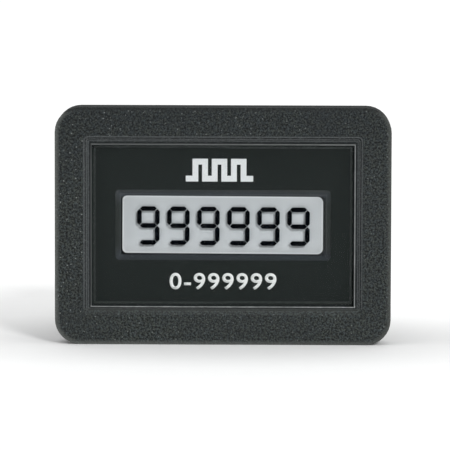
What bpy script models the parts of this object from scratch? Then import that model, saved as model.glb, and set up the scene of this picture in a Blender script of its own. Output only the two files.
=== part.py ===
"""Panel counter: a six-digit counting meter that clamps into a rectangular cut-out in a panel.

Metres, +Z up. The front faces -Y. The origin is the centre of the cut-out, on the panel's front face,
which is where the gasket's rear face lies. What is behind the panel has a positive y.
"""

import math

import bmesh
import bpy
from mathutils import Matrix

# Fits
SEAT_GAP = 0.0001
SLIDE_GAP = 0.0002
GLUE_GAP = 0.00005
OVERLAP = 0.0004
CUTTER_MARGIN = 0.0010

# Panel that the counter goes into
PANEL_THICKNESS = 0.0030
CUTOUT_CLEARANCE = 0.00025

# Moulded housing: the bezel and the body behind it
BEZEL_SIDE_RIM = 0.0044
BEZEL_END_RIM = 0.0046
BEZEL_THICKNESS = 0.0056
BEZEL_CORNER_RADIUS = 0.0039
BEZEL_EDGE_ROUNDING = 0.0006
POCKET_WALL = 0.0013
GROOVE_INSET = 0.0008
GROOVE_FACE_WALL = 0.0014
SIDE_LEDGE = 0.00367
END_LEDGE = 0.00222
REAR_ROOM = 0.0048
BODY_WALL = 0.0012
BODY_CORNER_RADIUS = 0.0015
CAVITY_CORNER_RADIUS = 0.0004

# Recess with sloping sides round the lens
RECESS_DEPTH = 0.0008
RECESS_SLOPE_WIDTH = 0.00098

# Rubber gasket between the bezel and the panel
GASKET_THICKNESS = 0.0015
GASKET_REBATE = 0.0006
GASKET_INSET = 0.0020
GASKET_HOLE_CLEARANCE = 0.0001

# Clear lens
LENS_THICKNESS = 0.0015
LENS_CORNER_RADIUS = 0.0003
LENS_EDGE_CHAMFER = 0.0002

# Dial plate with its bevelled window
DIAL_THICKNESS = 0.0014
WINDOW_SIDE_MARGIN = 0.00167
WINDOW_END_MARGIN = 0.0015
WINDOW_DROP = 0.00006
WINDOW_CORNER_RADIUS = 0.0007
WINDOW_BEVEL_SIDE_WIDTH = 0.00102
WINDOW_BEVEL_END_WIDTH = 0.00096
WINDOW_BEVEL_DEPTH = 0.0009
WINDOW_BEVEL_RADIUS = 0.0009

# Liquid crystal display
POLARIZER_THICKNESS = 0.0002
REFLECTOR_THICKNESS = 0.00025
GLASS_THICKNESS = 0.0007
GLASS_SIDE_BORDER = 0.00048
GLASS_END_BORDER = 0.0017
CRYSTAL_LAYER = 0.0002
SEGMENT_RELIEF = 0.00012
DIGIT_COUNT = 6
DIGIT_PITCH = 0.00468
DIGIT_WIDTH = 0.0035
DIGIT_HEIGHT = 0.0060
DIGIT_DROP = 0.00046
SEGMENT_WIDTH = 0.00074
SEGMENT_SPACING = 0.00007
SEGMENTS_OF_NINE = "abcdfg"

# Moulded frame that holds the display
FRAME_CLEARANCE = 0.0001
FRAME_SIDE_WALL = 0.00055
FRAME_END_WALL = 0.0006
FRAME_BACK_THICKNESS = 0.0030
FRAME_EDGE_RADIUS = 0.0003
ZEBRA_THICKNESS = 0.0018
ZEBRA_END_GAP = 0.0012
ZEBRA_WEB = 0.0006
CONTACT_EDGE = 0.0003

# Circuit boards
BOARD_THICKNESS = 0.0016
BOARD_CLEARANCE = 0.00015
BOARD_CORNER_RADIUS = 0.0003
RIB_OFFSET = 0.0090
RIB_WIDTH = 0.0016
RIB_HEIGHT = 0.0012

# Parts on the display board
CHIP_RADIUS = 0.0036
CHIP_HEIGHT = 0.0012
CHIP_RECESS_CLEARANCE = 0.0004
CRYSTAL_CAN_RADIUS = 0.0010
CRYSTAL_CAN_LENGTH = 0.0060
CRYSTAL_PLACE = (-0.0143, 0.0058)
CELL_RADIUS = 0.0100
CELL_THICKNESS = 0.0032
CELL_MARGIN = 0.0005
CELL_AIR_GAP = 0.00045
CELL_CAP_INSET = 0.0012
CELL_CAP_STEP = 0.0004
CELL_EDGE = 0.0003
TAB_THICKNESS = 0.0003
TAB_WIDTH = 0.0030
TAB_REACH = 0.0020
HEADER_PINS = 4
HEADER_PITCH = 0.0020
HEADER_OFFSET = 0.0022
HEADER_STRIP = 0.0021
HEADER_MARGIN = 0.00035
PIN_RADIUS = 0.0003
PIN_HOLE_RADIUS = 0.0005
PIN_OVERSHOOT = 0.0005

# Parts on the input board
OPTO_BODY = (0.0054, 0.0034, 0.0046)
RECTIFIER_BODY = (0.0047, 0.0025, 0.0039)
CHIP_STANDOFF = 0.0003
CHIP_EDGE_CHAMFER = 0.0002
CHIP_LEG_SPREAD = 0.0005
CHIP_LEG_WIDTH = 0.0006
CHIP_LEG_THICKNESS = 0.0003
CHIP_LEG_PITCH = 0.00254
RESISTOR_RADIUS = 0.0012
RESISTOR_WAIST_DEPTH = 0.0002
RESISTOR_LENGTH = 0.0063
LEAD_RADIUS = 0.0003
LEAD_REACH = 0.0009
CAPACITOR_RADIUS = 0.0025
CAPACITOR_LENGTH = 0.0070
CAPACITOR_CRIMP = 0.0002
VARISTOR_RADIUS = 0.0033
VARISTOR_THICKNESS = 0.0032
LEAD_PITCH = 0.0025
RESISTOR_PLACES = ((-0.0065, -0.0060), (0.0030, -0.0060), (-0.0050, 0.0066))
CAPACITOR_PLACE = (0.0031, 0.0066)
VARISTOR_PLACE = (0.0118, 0.0066)

# Quick-connect terminals
TERMINAL_COUNT = 4
TERMINAL_PITCH = 0.0080
BLADE_WIDTH = 0.00635
BLADE_THICKNESS = 0.0008
BLADE_LENGTH = 0.0080
BLADE_TIP_CHAMFER = 0.0010
BLADE_HOLE_RADIUS = 0.00085
BLADE_HOLE_INSET = 0.0041
SHOULDER_STEP = 0.000625
SHOULDER_HEIGHT = 0.0020
BOARD_LEG_WIDTH = 0.0012
BOARD_LEG_SPACING = 0.0044
BOARD_LEG_OVERSHOOT = 0.0005

# Rear cover
COVER_THICKNESS = 0.0020
COVER_EDGE_ROUNDING = 0.0004
BLOCK_SIDE_MARGIN = 0.0035
BLOCK_WALL = 0.000825
BLOCK_RISE = 0.0042
BLOCK_CORNER_RADIUS = 0.0008
TONGUE_OFFSET = 0.0060
TONGUE_WIDTH = 0.0040
TONGUE_THICKNESS = 0.0012
TONGUE_TIP_GAP = 0.0007
NOSE_RISE = 0.0010
NOSE_LENGTH = 0.0014
SNAP_WINDOW_CLEARANCE = 0.0003

# Studs, washers and nuts
STUD_RADIUS = 0.0015
STUD_SIDE_INSET = 0.00305
STUD_END_INSET = 0.0032
STUD_EMBEDDED = 0.0065
STUD_CHAMFER = 0.0003
STUD_OVERSHOOT = 0.0015
BOSS_WALL = 0.0012
BOSS_FLOOR = 0.0015
HOLE_CLEARANCE = 0.0002
WASHER_RIM = 0.00035
WASHER_BLOCK_GAP = 0.0003
WASHER_THICKNESS = 0.0008
WASHER_SPLIT = 0.0005
NUT_ACROSS_FLATS = 0.0055
NUT_HEIGHT = 0.0024
NUT_CHAMFER = 0.0003

# Pressed steel bracket
BRACKET_THICKNESS = 0.0010
BRACKET_CLEARANCE = 0.0003
BRACKET_END_INSET = 0.0010
BRACKET_STANDOFF = 0.0020
BRACKET_BEND_RADIUS = 0.0008
BRACKET_LEG_WIDTH = 0.0140
BRACKET_FOOT_LENGTH = 0.0055
BRACKET_WINDOW_CLEARANCE = 0.0004
BRACKET_WINDOW_RADIUS = 0.0010

# Fineness of round forms
CORNER_STEPS = 4
BEZEL_CORNER_STEPS = 8
ROUND_STEPS = 24
SMALL_ROUND_STEPS = 12

# Places along Y. Each is a piece's front face, unless its name says otherwise
FLANGE_BACK = GASKET_REBATE - SEAT_GAP - GASKET_THICKNESS
FLANGE_FRONT = FLANGE_BACK - BEZEL_THICKNESS
LENS_FRONT = FLANGE_FRONT + RECESS_DEPTH
DIAL_FRONT = LENS_FRONT + LENS_THICKNESS + SEAT_GAP
LEDGE = DIAL_FRONT + DIAL_THICKNESS + SEAT_GAP
FRONT_POLARIZER = LEDGE + SEAT_GAP
FRONT_GLASS = FRONT_POLARIZER + POLARIZER_THICKNESS + GLUE_GAP
FRONT_GLASS_BACK = FRONT_GLASS + GLASS_THICKNESS
REAR_GLASS = FRONT_GLASS_BACK + CRYSTAL_LAYER
REFLECTOR = REAR_GLASS + GLASS_THICKNESS + GLUE_GAP
FRAME_FLOOR = REFLECTOR + REFLECTOR_THICKNESS + SEAT_GAP
FRAME_BACK = FRAME_FLOOR + FRAME_BACK_THICKNESS
DISPLAY_BOARD = FRAME_BACK + SEAT_GAP
DISPLAY_BOARD_BACK = DISPLAY_BOARD + BOARD_THICKNESS
CELL_FRONT = DISPLAY_BOARD_BACK + SEAT_GAP + TAB_THICKNESS + SEAT_GAP
CELL_BACK = CELL_FRONT + CELL_THICKNESS
INPUT_BOARD = CELL_BACK + CELL_AIR_GAP + 2 * CAPACITOR_RADIUS + SEAT_GAP
INPUT_BOARD_BACK = INPUT_BOARD + BOARD_THICKNESS
TONGUE_TIP = INPUT_BOARD_BACK + TONGUE_TIP_GAP
BODY_DEPTH = INPUT_BOARD_BACK + REAR_ROOM
COVER_FRONT = BODY_DEPTH + SEAT_GAP
COVER_BACK = COVER_FRONT + COVER_THICKNESS
BLOCK_FACE = COVER_BACK + BLOCK_RISE
BLADE_TIP = BLOCK_FACE + BLADE_LENGTH
BRACKET_FRONT = COVER_BACK + BRACKET_STANDOFF
BRACKET_BACK = BRACKET_FRONT + BRACKET_THICKNESS
WASHER_FRONT = BRACKET_BACK + SEAT_GAP
NUT_FRONT = WASHER_FRONT + WASHER_THICKNESS + SEAT_GAP
STUD_FRONT = BODY_DEPTH - STUD_EMBEDDED
STUD_END = NUT_FRONT + NUT_HEIGHT + STUD_OVERSHOOT

# The display, from its digits outwards
WINDOW_WIDTH = DIGIT_COUNT * DIGIT_PITCH + 2 * WINDOW_SIDE_MARGIN
WINDOW_HEIGHT = DIGIT_HEIGHT + 2 * WINDOW_END_MARGIN
GLASS_WIDTH = WINDOW_WIDTH + 2 * GLASS_SIDE_BORDER
REAR_GLASS_HEIGHT = WINDOW_HEIGHT + 2 * GLASS_END_BORDER
ZEBRA_LENGTH = GLASS_WIDTH - 2 * ZEBRA_END_GAP
ZEBRA_SLOT = ZEBRA_THICKNESS + 2 * FRAME_CLEARANCE
ZEBRA_MIDDLE = REAR_GLASS_HEIGHT / 2 + FRAME_CLEARANCE + ZEBRA_WEB + ZEBRA_SLOT / 2
FRONT_GLASS_HEIGHT = 2 * (ZEBRA_MIDDLE + ZEBRA_SLOT / 2 + CONTACT_EDGE)

# The terminals, and the studs that clear their block
LAST_TERMINAL = (TERMINAL_COUNT - 1) / 2 * TERMINAL_PITCH
SHOULDER_WIDTH = BLADE_WIDTH + 2 * SHOULDER_STEP
BLOCK_WIDTH = 2 * (LAST_TERMINAL + BLOCK_SIDE_MARGIN)
BLOCK_HEIGHT = BLADE_WIDTH + 2 * BLOCK_WALL
HEADER_X = LAST_TERMINAL + HEADER_OFFSET
OPTO_PLACES = ((-TERMINAL_PITCH, 0.0), (0.0, 0.0))
RECTIFIER_PLACE = (TERMINAL_PITCH, 0.0)
WASHER_RADIUS = NUT_ACROSS_FLATS / 2 + WASHER_RIM
STUD_Z = BLOCK_HEIGHT / 2 + WASHER_BLOCK_GAP + WASHER_RADIUS

# The cavity has room for all of these, and the rest of the housing follows it: a bezel of
# 52.0 x 36.8 mm on a cut-out of 36.8 x 24.1 mm
CAVITY_WIDTH = max(
    GLASS_WIDTH + 2 * (2 * FRAME_CLEARANCE + FRAME_SIDE_WALL),
    2 * (HEADER_X + HEADER_STRIP / 2 + HEADER_MARGIN),
)
CAVITY_HEIGHT = max(
    FRONT_GLASS_HEIGHT + 2 * (2 * FRAME_CLEARANCE + FRAME_END_WALL),
    2 * (STUD_Z + STUD_END_INSET),
    2 * (CELL_RADIUS + CELL_MARGIN),
)
BODY_WIDTH = CAVITY_WIDTH + 2 * BODY_WALL
BODY_HEIGHT = CAVITY_HEIGHT + 2 * BODY_WALL
CUTOUT_WIDTH = BODY_WIDTH + 2 * CUTOUT_CLEARANCE
CUTOUT_HEIGHT = BODY_HEIGHT + 2 * CUTOUT_CLEARANCE
POCKET_WIDTH = CAVITY_WIDTH + 2 * SIDE_LEDGE
POCKET_HEIGHT = CAVITY_HEIGHT + 2 * END_LEDGE
LENS_WIDTH = POCKET_WIDTH - 2 * FRAME_CLEARANCE
LENS_HEIGHT = POCKET_HEIGHT - 2 * FRAME_CLEARANCE
BEZEL_WIDTH = POCKET_WIDTH + 2 * (RECESS_SLOPE_WIDTH + BEZEL_SIDE_RIM)
BEZEL_HEIGHT = POCKET_HEIGHT + 2 * (RECESS_SLOPE_WIDTH + BEZEL_END_RIM)
BOARD_WIDTH = CAVITY_WIDTH - 2 * BOARD_CLEARANCE
BOARD_HEIGHT = CAVITY_HEIGHT - 2 * BOARD_CLEARANCE
STUD_X = CAVITY_WIDTH / 2 - STUD_SIDE_INSET
STUD_PLACES = ((-STUD_X, STUD_Z), (STUD_X, -STUD_Z))
BRACKET_HEIGHT = BODY_HEIGHT - 2 * BRACKET_END_INSET

# Base colour, roughness and metallic value of each finish
FINISHES = {
    "black_moulding": ((0.036, 0.041, 0.040), 0.55, 0.0),
    "cover_moulding": ((0.030, 0.032, 0.032), 0.50, 0.0),
    "clear_acrylic": ((0.90, 0.92, 0.92), 0.05, 0.0),
    "dial_black": ((0.018, 0.022, 0.021), 0.50, 0.0),
    "polarizer_film": ((0.55, 0.58, 0.60), 0.10, 0.0),
    "display_glass": ((0.60, 0.63, 0.64), 0.08, 0.0),
    "reflector_film": ((0.47, 0.50, 0.52), 0.45, 0.0),
    "white_moulding": ((0.75, 0.75, 0.72), 0.50, 0.0),
    "zebra_rubber": ((0.30, 0.09, 0.07), 0.70, 0.0),
    "board_green": ((0.02, 0.13, 0.05), 0.45, 0.0),
    "black_epoxy": ((0.01, 0.01, 0.01), 0.35, 0.0),
    "bright_steel": ((0.62, 0.63, 0.64), 0.25, 1.0),
    "tinned_brass": ((0.72, 0.70, 0.64), 0.30, 1.0),
    "resistor_beige": ((0.62, 0.48, 0.30), 0.40, 0.0),
    "capacitor_sleeve": ((0.03, 0.05, 0.20), 0.40, 0.0),
    "varistor_blue": ((0.03, 0.14, 0.40), 0.40, 0.0),
    "gasket_rubber": ((0.015, 0.015, 0.015), 0.85, 0.0),
    "zinc_plate": ((0.60, 0.60, 0.57), 0.35, 1.0),
    "fastener_steel": ((0.58, 0.58, 0.56), 0.30, 1.0),
}

# How an outline's first and second direction and its extrusion lie in the part
PLANES = {
    "X": Matrix(((0, 0, 1), (1, 0, 0), (0, 1, 0))).to_4x4(),
    "Y": Matrix(((1, 0, 0), (0, 0, -1), (0, 1, 0))).to_4x4(),
    "Z": Matrix.Identity(4),
}


def clear_scene():
    for obj in list(bpy.data.objects):
        bpy.data.objects.remove(obj, do_unlink=True)


def new_collection(name, hidden=False):
    made = bpy.data.collections.new(name)
    made.hide_render = hidden
    bpy.context.scene.collection.children.link(made)
    return made


clear_scene()
PARTS = new_collection("panel_counter")
CUTTERS = new_collection("cutters", hidden=True)


def finish_material(name, finish):
    colour, roughness, metallic = FINISHES[finish]
    made = bpy.data.materials.new(f"{name}_{finish}")
    made.use_nodes = True
    shader = made.node_tree.nodes["Principled BSDF"]
    shader.inputs["Base Color"].default_value = (*colour, 1.0)
    shader.inputs["Roughness"].default_value = roughness
    shader.inputs["Metallic"].default_value = metallic
    return made


def add_object(name, mesh, finish=None):
    """A part where it has a finish, and otherwise a hidden tool that a Boolean uses."""
    obj = bpy.data.objects.new(name, mesh)
    if finish:
        mesh.materials.append(finish_material(name, finish))
        PARTS.objects.link(obj)
    else:
        obj.hide_render = True
        obj.display_type = "WIRE"
        CUTTERS.objects.link(obj)
    return obj


def placed(axis, along, across):
    """The point that lies at a distance along an axis, and at two more across it."""
    points = {
        "X": (along, across[0], across[1]),
        "Y": (across[0], along, across[1]),
        "Z": (across[0], across[1], along),
    }
    return points[axis]


def shade_round(mesh):
    mesh.shade_smooth()
    mesh.set_sharp_from_angle(angle=math.radians(35))


# Outlines, as lists of points in a plane


def rectangle(width, height, radius=0.0, centre=(0.0, 0.0), steps=CORNER_STEPS):
    """Anticlockwise, with round corners where it has a radius."""
    if radius <= 0.0:
        steps = 0
        radius = 0.0
    points = []
    for quarter, (side, level) in enumerate(((1, 1), (-1, 1), (-1, -1), (1, -1))):
        corner_u = centre[0] + side * (width / 2 - radius)
        corner_v = centre[1] + level * (height / 2 - radius)
        for step in range(steps + 1):
            angle = math.pi / 2 * (quarter + step / max(steps, 1))
            points.append(
                (corner_u + radius * math.cos(angle), corner_v + radius * math.sin(angle))
            )
    return points


def circle(radius, centre=(0.0, 0.0), steps=SMALL_ROUND_STEPS):
    turns = [2 * math.pi * (step + 0.5) / steps for step in range(steps)]
    return [(centre[0] + radius * math.cos(t), centre[1] + radius * math.sin(t)) for t in turns]


def mirrored(points):
    """The points and then their mirror images in the first direction, in reverse order."""
    return points + [(-u, v) for u, v in reversed(points)]


def sheet_outline(path, thickness, bend_radius):
    """The cut edge of a folded sheet whose middle follows the path, which turns by right angles."""
    middle = bend_radius + thickness / 2
    sides = ([], [])
    for side, offset in zip(sides, (thickness / 2, -thickness / 2)):
        for index, (u, v) in enumerate(path):
            before = path[max(index - 1, 0)]
            after = path[min(index + 1, len(path) - 1)]
            heading = math.atan2(v - before[1], u - before[0])
            leaving = math.atan2(after[1] - v, after[0] - u)
            if index in (0, len(path) - 1):
                straight = leaving if index == 0 else heading
                side.append((u - offset * math.sin(straight), v + offset * math.cos(straight)))
                continue
            turn = math.copysign(1.0, math.sin(leaving - heading))
            hub_u = u - middle * math.cos(heading) - turn * middle * math.sin(heading)
            hub_v = v - middle * math.sin(heading) + turn * middle * math.cos(heading)
            radius = middle - turn * offset
            for step in range(CORNER_STEPS + 1):
                angle = heading + turn * math.pi / 2 * (step / CORNER_STEPS - 1)
                side.append((hub_u + radius * math.cos(angle), hub_v + radius * math.sin(angle)))
    return sides[0] + sides[1][::-1]


# Solids


def evaluated_mesh(carrier):
    """The mesh of an object with its modifiers applied, for which the object itself is given up."""
    bpy.context.scene.collection.objects.link(carrier)
    graph = bpy.context.evaluated_depsgraph_get()
    mesh = bpy.data.meshes.new_from_object(carrier.evaluated_get(graph))
    bpy.data.objects.remove(carrier)
    shade_round(mesh)
    return mesh


def mesh_of_curve(curve):
    """The curve's solid as a mesh, with its caps welded to its sides."""
    mesh = evaluated_mesh(bpy.data.objects.new(curve.name, curve))
    bpy.data.curves.remove(curve)
    work = bmesh.new()
    work.from_mesh(mesh)
    bmesh.ops.remove_doubles(work, verts=work.verts, dist=1e-6)
    bmesh.ops.recalc_face_normals(work, faces=work.faces)
    work.to_mesh(mesh)
    work.free()
    return mesh


def extrusion(name, outlines, start, end, axis="Y", finish=None, centre=(0.0, 0.0)):
    """Flat outlines, those inside others being holes, drawn out along an axis from start to end."""
    curve = bpy.data.curves.new(name, "CURVE")
    curve.dimensions = "2D"
    curve.fill_mode = "BOTH"
    curve.extrude = (end - start) / 2
    for outline in outlines:
        spline = curve.splines.new("POLY")
        spline.points.add(len(outline) - 1)
        for point, (u, v) in zip(spline.points, outline):
            point.co = (u, v, 0.0, 1.0)
        spline.use_cyclic_u = True
    mesh = mesh_of_curve(curve)
    mesh.transform(PLANES[axis])
    obj = add_object(name, mesh, finish)
    obj.location = placed(axis, (start + end) / 2, centre)
    return obj


def box(name, size, centre, finish=None):
    work = bmesh.new()
    bmesh.ops.create_cube(work, size=1.0, matrix=Matrix.Diagonal((*size, 1.0)))
    mesh = bpy.data.meshes.new(name)
    work.to_mesh(mesh)
    work.free()
    obj = add_object(name, mesh, finish)
    obj.location = centre
    return obj


def funnel(name, size, slope_widths, front, back, radii, drop=0.0):
    """A tool for an opening that widens to the front by a slope on each side.

    The size is that at the back; the corner radii are those at the front and at the back.
    """
    reach = 1 + CUTTER_MARGIN / (back - front)
    wide = [length + 2 * reach * slope for length, slope in zip(size, slope_widths)]
    work = bmesh.new()
    rings = []
    for lengths, radius, y in ((wide, radii[0], front - CUTTER_MARGIN), (size, radii[1], back)):
        outline = rectangle(*lengths, radius, (0.0, -drop))
        rings.append([work.verts.new((u, y, v)) for u, v in outline])
        work.faces.new(rings[-1])
    bmesh.ops.bridge_loops(work, edges=work.edges[:])
    bmesh.ops.recalc_face_normals(work, faces=work.faces)
    mesh = bpy.data.meshes.new(name)
    work.to_mesh(mesh)
    work.free()
    return add_object(name, mesh)


def cylinder(name, radius, start, end, centre, axis="Y", finish=None, steps=ROUND_STEPS):
    """A straight round bar along an axis, centre being its place across that axis."""
    work = bmesh.new()
    bmesh.ops.create_cone(
        work, cap_ends=True, segments=steps, radius1=radius, radius2=radius, depth=end - start
    )
    mesh = bpy.data.meshes.new(name)
    work.to_mesh(mesh)
    work.free()
    mesh.transform(PLANES[axis])
    shade_round(mesh)
    obj = add_object(name, mesh, finish)
    obj.location = placed(axis, (start + end) / 2, centre)
    return obj


def turned(name, profile, location, rotation, finish=None, steps=ROUND_STEPS):
    """A profile of (radius, height) points, which runs down the outer side, turned about local Z."""
    section = bpy.data.meshes.new(name)
    seam_x = math.cos(math.pi / steps)
    seam_y = math.sin(math.pi / steps)
    section.from_pydata(
        [(radius * seam_x, radius * seam_y, height) for radius, height in profile],
        [(index, index + 1) for index in range(len(profile) - 1)],
        [],
    )
    carrier = bpy.data.objects.new(name, section)
    screw = carrier.modifiers.new("turn", "SCREW")
    screw.steps = steps
    screw.render_steps = steps
    screw.use_merge_vertices = True
    screw.merge_threshold = 1e-6
    obj = add_object(name, evaluated_mesh(carrier), finish)
    bpy.data.meshes.remove(section)
    obj.location = location
    obj.rotation_euler = rotation
    return obj


def wire(name, points, radius):
    """A round wire through the points, as a closed mesh."""
    curve = bpy.data.curves.new(name, "CURVE")
    curve.dimensions = "3D"
    curve.bevel_depth = radius
    curve.bevel_resolution = 1
    curve.use_fill_caps = True
    spline = curve.splines.new("POLY")
    spline.points.add(len(points) - 1)
    for point, place in zip(spline.points, points):
        point.co = (*place, 1.0)
    return add_object(name, mesh_of_curve(curve))


# Work on solids


def boolean(part, tool, operation):
    modifier = part.modifiers.new(tool.name, "BOOLEAN")
    modifier.operation = operation
    modifier.solver = "EXACT"
    modifier.object = tool


def cut(part, tool):
    boolean(part, tool, "DIFFERENCE")


def join(part, tool):
    boolean(part, tool, "UNION")


def round_edges(part, width, segments, chosen):
    """Bevels the edges whose two ends both pass the test, in the part's own coordinates."""
    work = bmesh.new()
    work.from_mesh(part.data)
    weight = work.edges.layers.float.new("bevel_weight_edge")
    for edge in work.edges:
        sharp = edge.calc_face_angle(0.0) > math.radians(50)
        if sharp and all(chosen(vertex.co) for vertex in edge.verts):
            edge[weight] = 1.0
    work.to_mesh(part.data)
    work.free()
    bevel = part.modifiers.new("rounding", "BEVEL")
    bevel.limit_method = "WEIGHT"
    bevel.width = width
    bevel.segments = segments


def at_front(vertex):
    return vertex.y < 0


def at_back(vertex):
    return vertex.y > 0


# Housing


def make_bezel_housing():
    outline = rectangle(BEZEL_WIDTH, BEZEL_HEIGHT, BEZEL_CORNER_RADIUS, steps=BEZEL_CORNER_STEPS)
    housing = extrusion("bezel_housing", [outline], FLANGE_FRONT, FLANGE_BACK, finish="black_moulding")
    round_edges(housing, BEZEL_EDGE_ROUNDING, 3, at_front)

    body = rectangle(BODY_WIDTH, BODY_HEIGHT, BODY_CORNER_RADIUS)
    join(housing, extrusion("body_block", [body], FLANGE_BACK - OVERLAP, BODY_DEPTH))

    size = (POCKET_WIDTH, POCKET_HEIGHT)
    slopes = (RECESS_SLOPE_WIDTH, RECESS_SLOPE_WIDTH)
    radii = (LENS_CORNER_RADIUS, LENS_CORNER_RADIUS)
    cut(housing, funnel("recess", size, slopes, FLANGE_FRONT, LENS_FRONT, radii))
    pocket = rectangle(POCKET_WIDTH, POCKET_HEIGHT, LENS_CORNER_RADIUS)
    cut(housing, extrusion("lens_pocket", [pocket], LENS_FRONT - OVERLAP, LEDGE))
    cavity = rectangle(CAVITY_WIDTH, CAVITY_HEIGHT, CAVITY_CORNER_RADIUS)
    cut(housing, extrusion("cavity", [cavity], LEDGE - OVERLAP, BODY_DEPTH + CUTTER_MARGIN))

    rebate = rectangle(
        BEZEL_WIDTH - 2 * GASKET_INSET + 2 * SLIDE_GAP,
        BEZEL_HEIGHT - 2 * GASKET_INSET + 2 * SLIDE_GAP,
        BEZEL_CORNER_RADIUS - GASKET_INSET + SLIDE_GAP,
    )
    seat = FLANGE_BACK - GASKET_REBATE
    cut(housing, extrusion("gasket_rebate", [rebate, body], seat, FLANGE_BACK + CUTTER_MARGIN))
    cut(housing, core_groove_tool(seat))

    join(housing, spacer_ribs())
    for index, (x, z) in enumerate(STUD_PLACES, 1):
        join(housing, stud_boss(f"stud_boss_{index}", x, z))
        bore = STUD_RADIUS + SEAT_GAP
        tool = cylinder(
            f"stud_bore_{index}", bore, STUD_FRONT - SLIDE_GAP, BODY_DEPTH + CUTTER_MARGIN, (x, z)
        )
        cut(housing, tool)
    for side in (-1, 1):
        for level in (-1, 1):
            cut(housing, snap_window_tool(side, level))


def core_groove_tool(seat):
    """The groove that keeps the bezel's walls thin, open to the rear under the gasket."""
    inset = 2 * (GASKET_INSET + GROOVE_INSET)
    radius = max(BEZEL_CORNER_RADIUS - inset / 2, 0.0)
    outer = rectangle(BEZEL_WIDTH - inset, BEZEL_HEIGHT - inset, radius)
    inner = rectangle(POCKET_WIDTH + 2 * POCKET_WALL, POCKET_HEIGHT + 2 * POCKET_WALL)
    return extrusion("core_groove", [outer, inner], FLANGE_FRONT + GROOVE_FACE_WALL, seat + OVERLAP)


def spacer_ribs():
    """The four ribs on the long walls that both circuit boards rest on."""
    start = DISPLAY_BOARD_BACK + SEAT_GAP
    end = INPUT_BOARD - SEAT_GAP
    outlines = []
    for side in (-1, 1):
        for level in (-1, 1):
            middle = level * (CAVITY_HEIGHT / 2 - RIB_HEIGHT / 2 + BODY_WALL / 4)
            size = RIB_HEIGHT + BODY_WALL / 2
            outlines.append(rectangle(RIB_WIDTH, size, centre=(side * RIB_OFFSET, middle)))
    return extrusion("spacer_ribs", outlines, start, end)


def stud_boss(name, x, z):
    """A block in a corner of the body, merged with both its walls."""
    sides = []
    for place, half in ((x, CAVITY_WIDTH / 2), (z, CAVITY_HEIGHT / 2)):
        inner = abs(place) - STUD_RADIUS - BOSS_WALL
        outer = half + BODY_WALL / 2
        sides.append((outer - inner, math.copysign((outer + inner) / 2, place)))
    (width, middle_x), (height, middle_z) = sides
    outline = rectangle(width, height, BODY_WALL / 2, (middle_x, middle_z))
    return extrusion(name, [outline], STUD_FRONT - BOSS_FLOOR, BODY_DEPTH)


def snap_window_tool(side, level):
    """The opening in a long wall that a nose of the rear cover clicks into."""
    end = TONGUE_TIP + NOSE_LENGTH + SNAP_WINDOW_CLEARANCE
    start = TONGUE_TIP - SNAP_WINDOW_CLEARANCE
    size = (TONGUE_WIDTH + 2 * SNAP_WINDOW_CLEARANCE, end - start, BODY_WALL + 2 * OVERLAP)
    middle = level * (BODY_HEIGHT / 2 - BODY_WALL / 2)
    return box(f"snap_window_{side}_{level}", size, (side * TONGUE_OFFSET, (start + end) / 2, middle))


def make_gasket():
    outer = rectangle(
        BEZEL_WIDTH - 2 * GASKET_INSET,
        BEZEL_HEIGHT - 2 * GASKET_INSET,
        BEZEL_CORNER_RADIUS - GASKET_INSET,
    )
    inner = rectangle(
        CUTOUT_WIDTH + 2 * GASKET_HOLE_CLEARANCE,
        CUTOUT_HEIGHT + 2 * GASKET_HOLE_CLEARANCE,
        BODY_CORNER_RADIUS,
    )
    extrusion("gasket", [outer, inner], -GASKET_THICKNESS, 0.0, finish="gasket_rubber")


# Front and display


def make_lens():
    outline = rectangle(LENS_WIDTH, LENS_HEIGHT, LENS_CORNER_RADIUS, steps=2)
    lens = extrusion("lens", [outline], LENS_FRONT, LENS_FRONT + LENS_THICKNESS, finish="clear_acrylic")
    round_edges(lens, LENS_EDGE_CHAMFER, 1, at_front)


def make_dial_plate():
    outline = rectangle(LENS_WIDTH, LENS_HEIGHT, LENS_CORNER_RADIUS, steps=2)
    back = DIAL_FRONT + DIAL_THICKNESS
    dial = extrusion("dial_plate", [outline], DIAL_FRONT, back, finish="dial_black")
    size = (WINDOW_WIDTH, WINDOW_HEIGHT)
    slopes = (WINDOW_BEVEL_SIDE_WIDTH, WINDOW_BEVEL_END_WIDTH)
    floor = DIAL_FRONT + WINDOW_BEVEL_DEPTH
    radii = (WINDOW_BEVEL_RADIUS, WINDOW_CORNER_RADIUS)
    cut(dial, funnel("window_bevel", size, slopes, DIAL_FRONT, floor, radii, WINDOW_DROP))
    window = rectangle(WINDOW_WIDTH, WINDOW_HEIGHT, WINDOW_CORNER_RADIUS, (0.0, -WINDOW_DROP))
    cut(dial, extrusion("window", [window], floor - OVERLAP, back + CUTTER_MARGIN))


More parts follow.
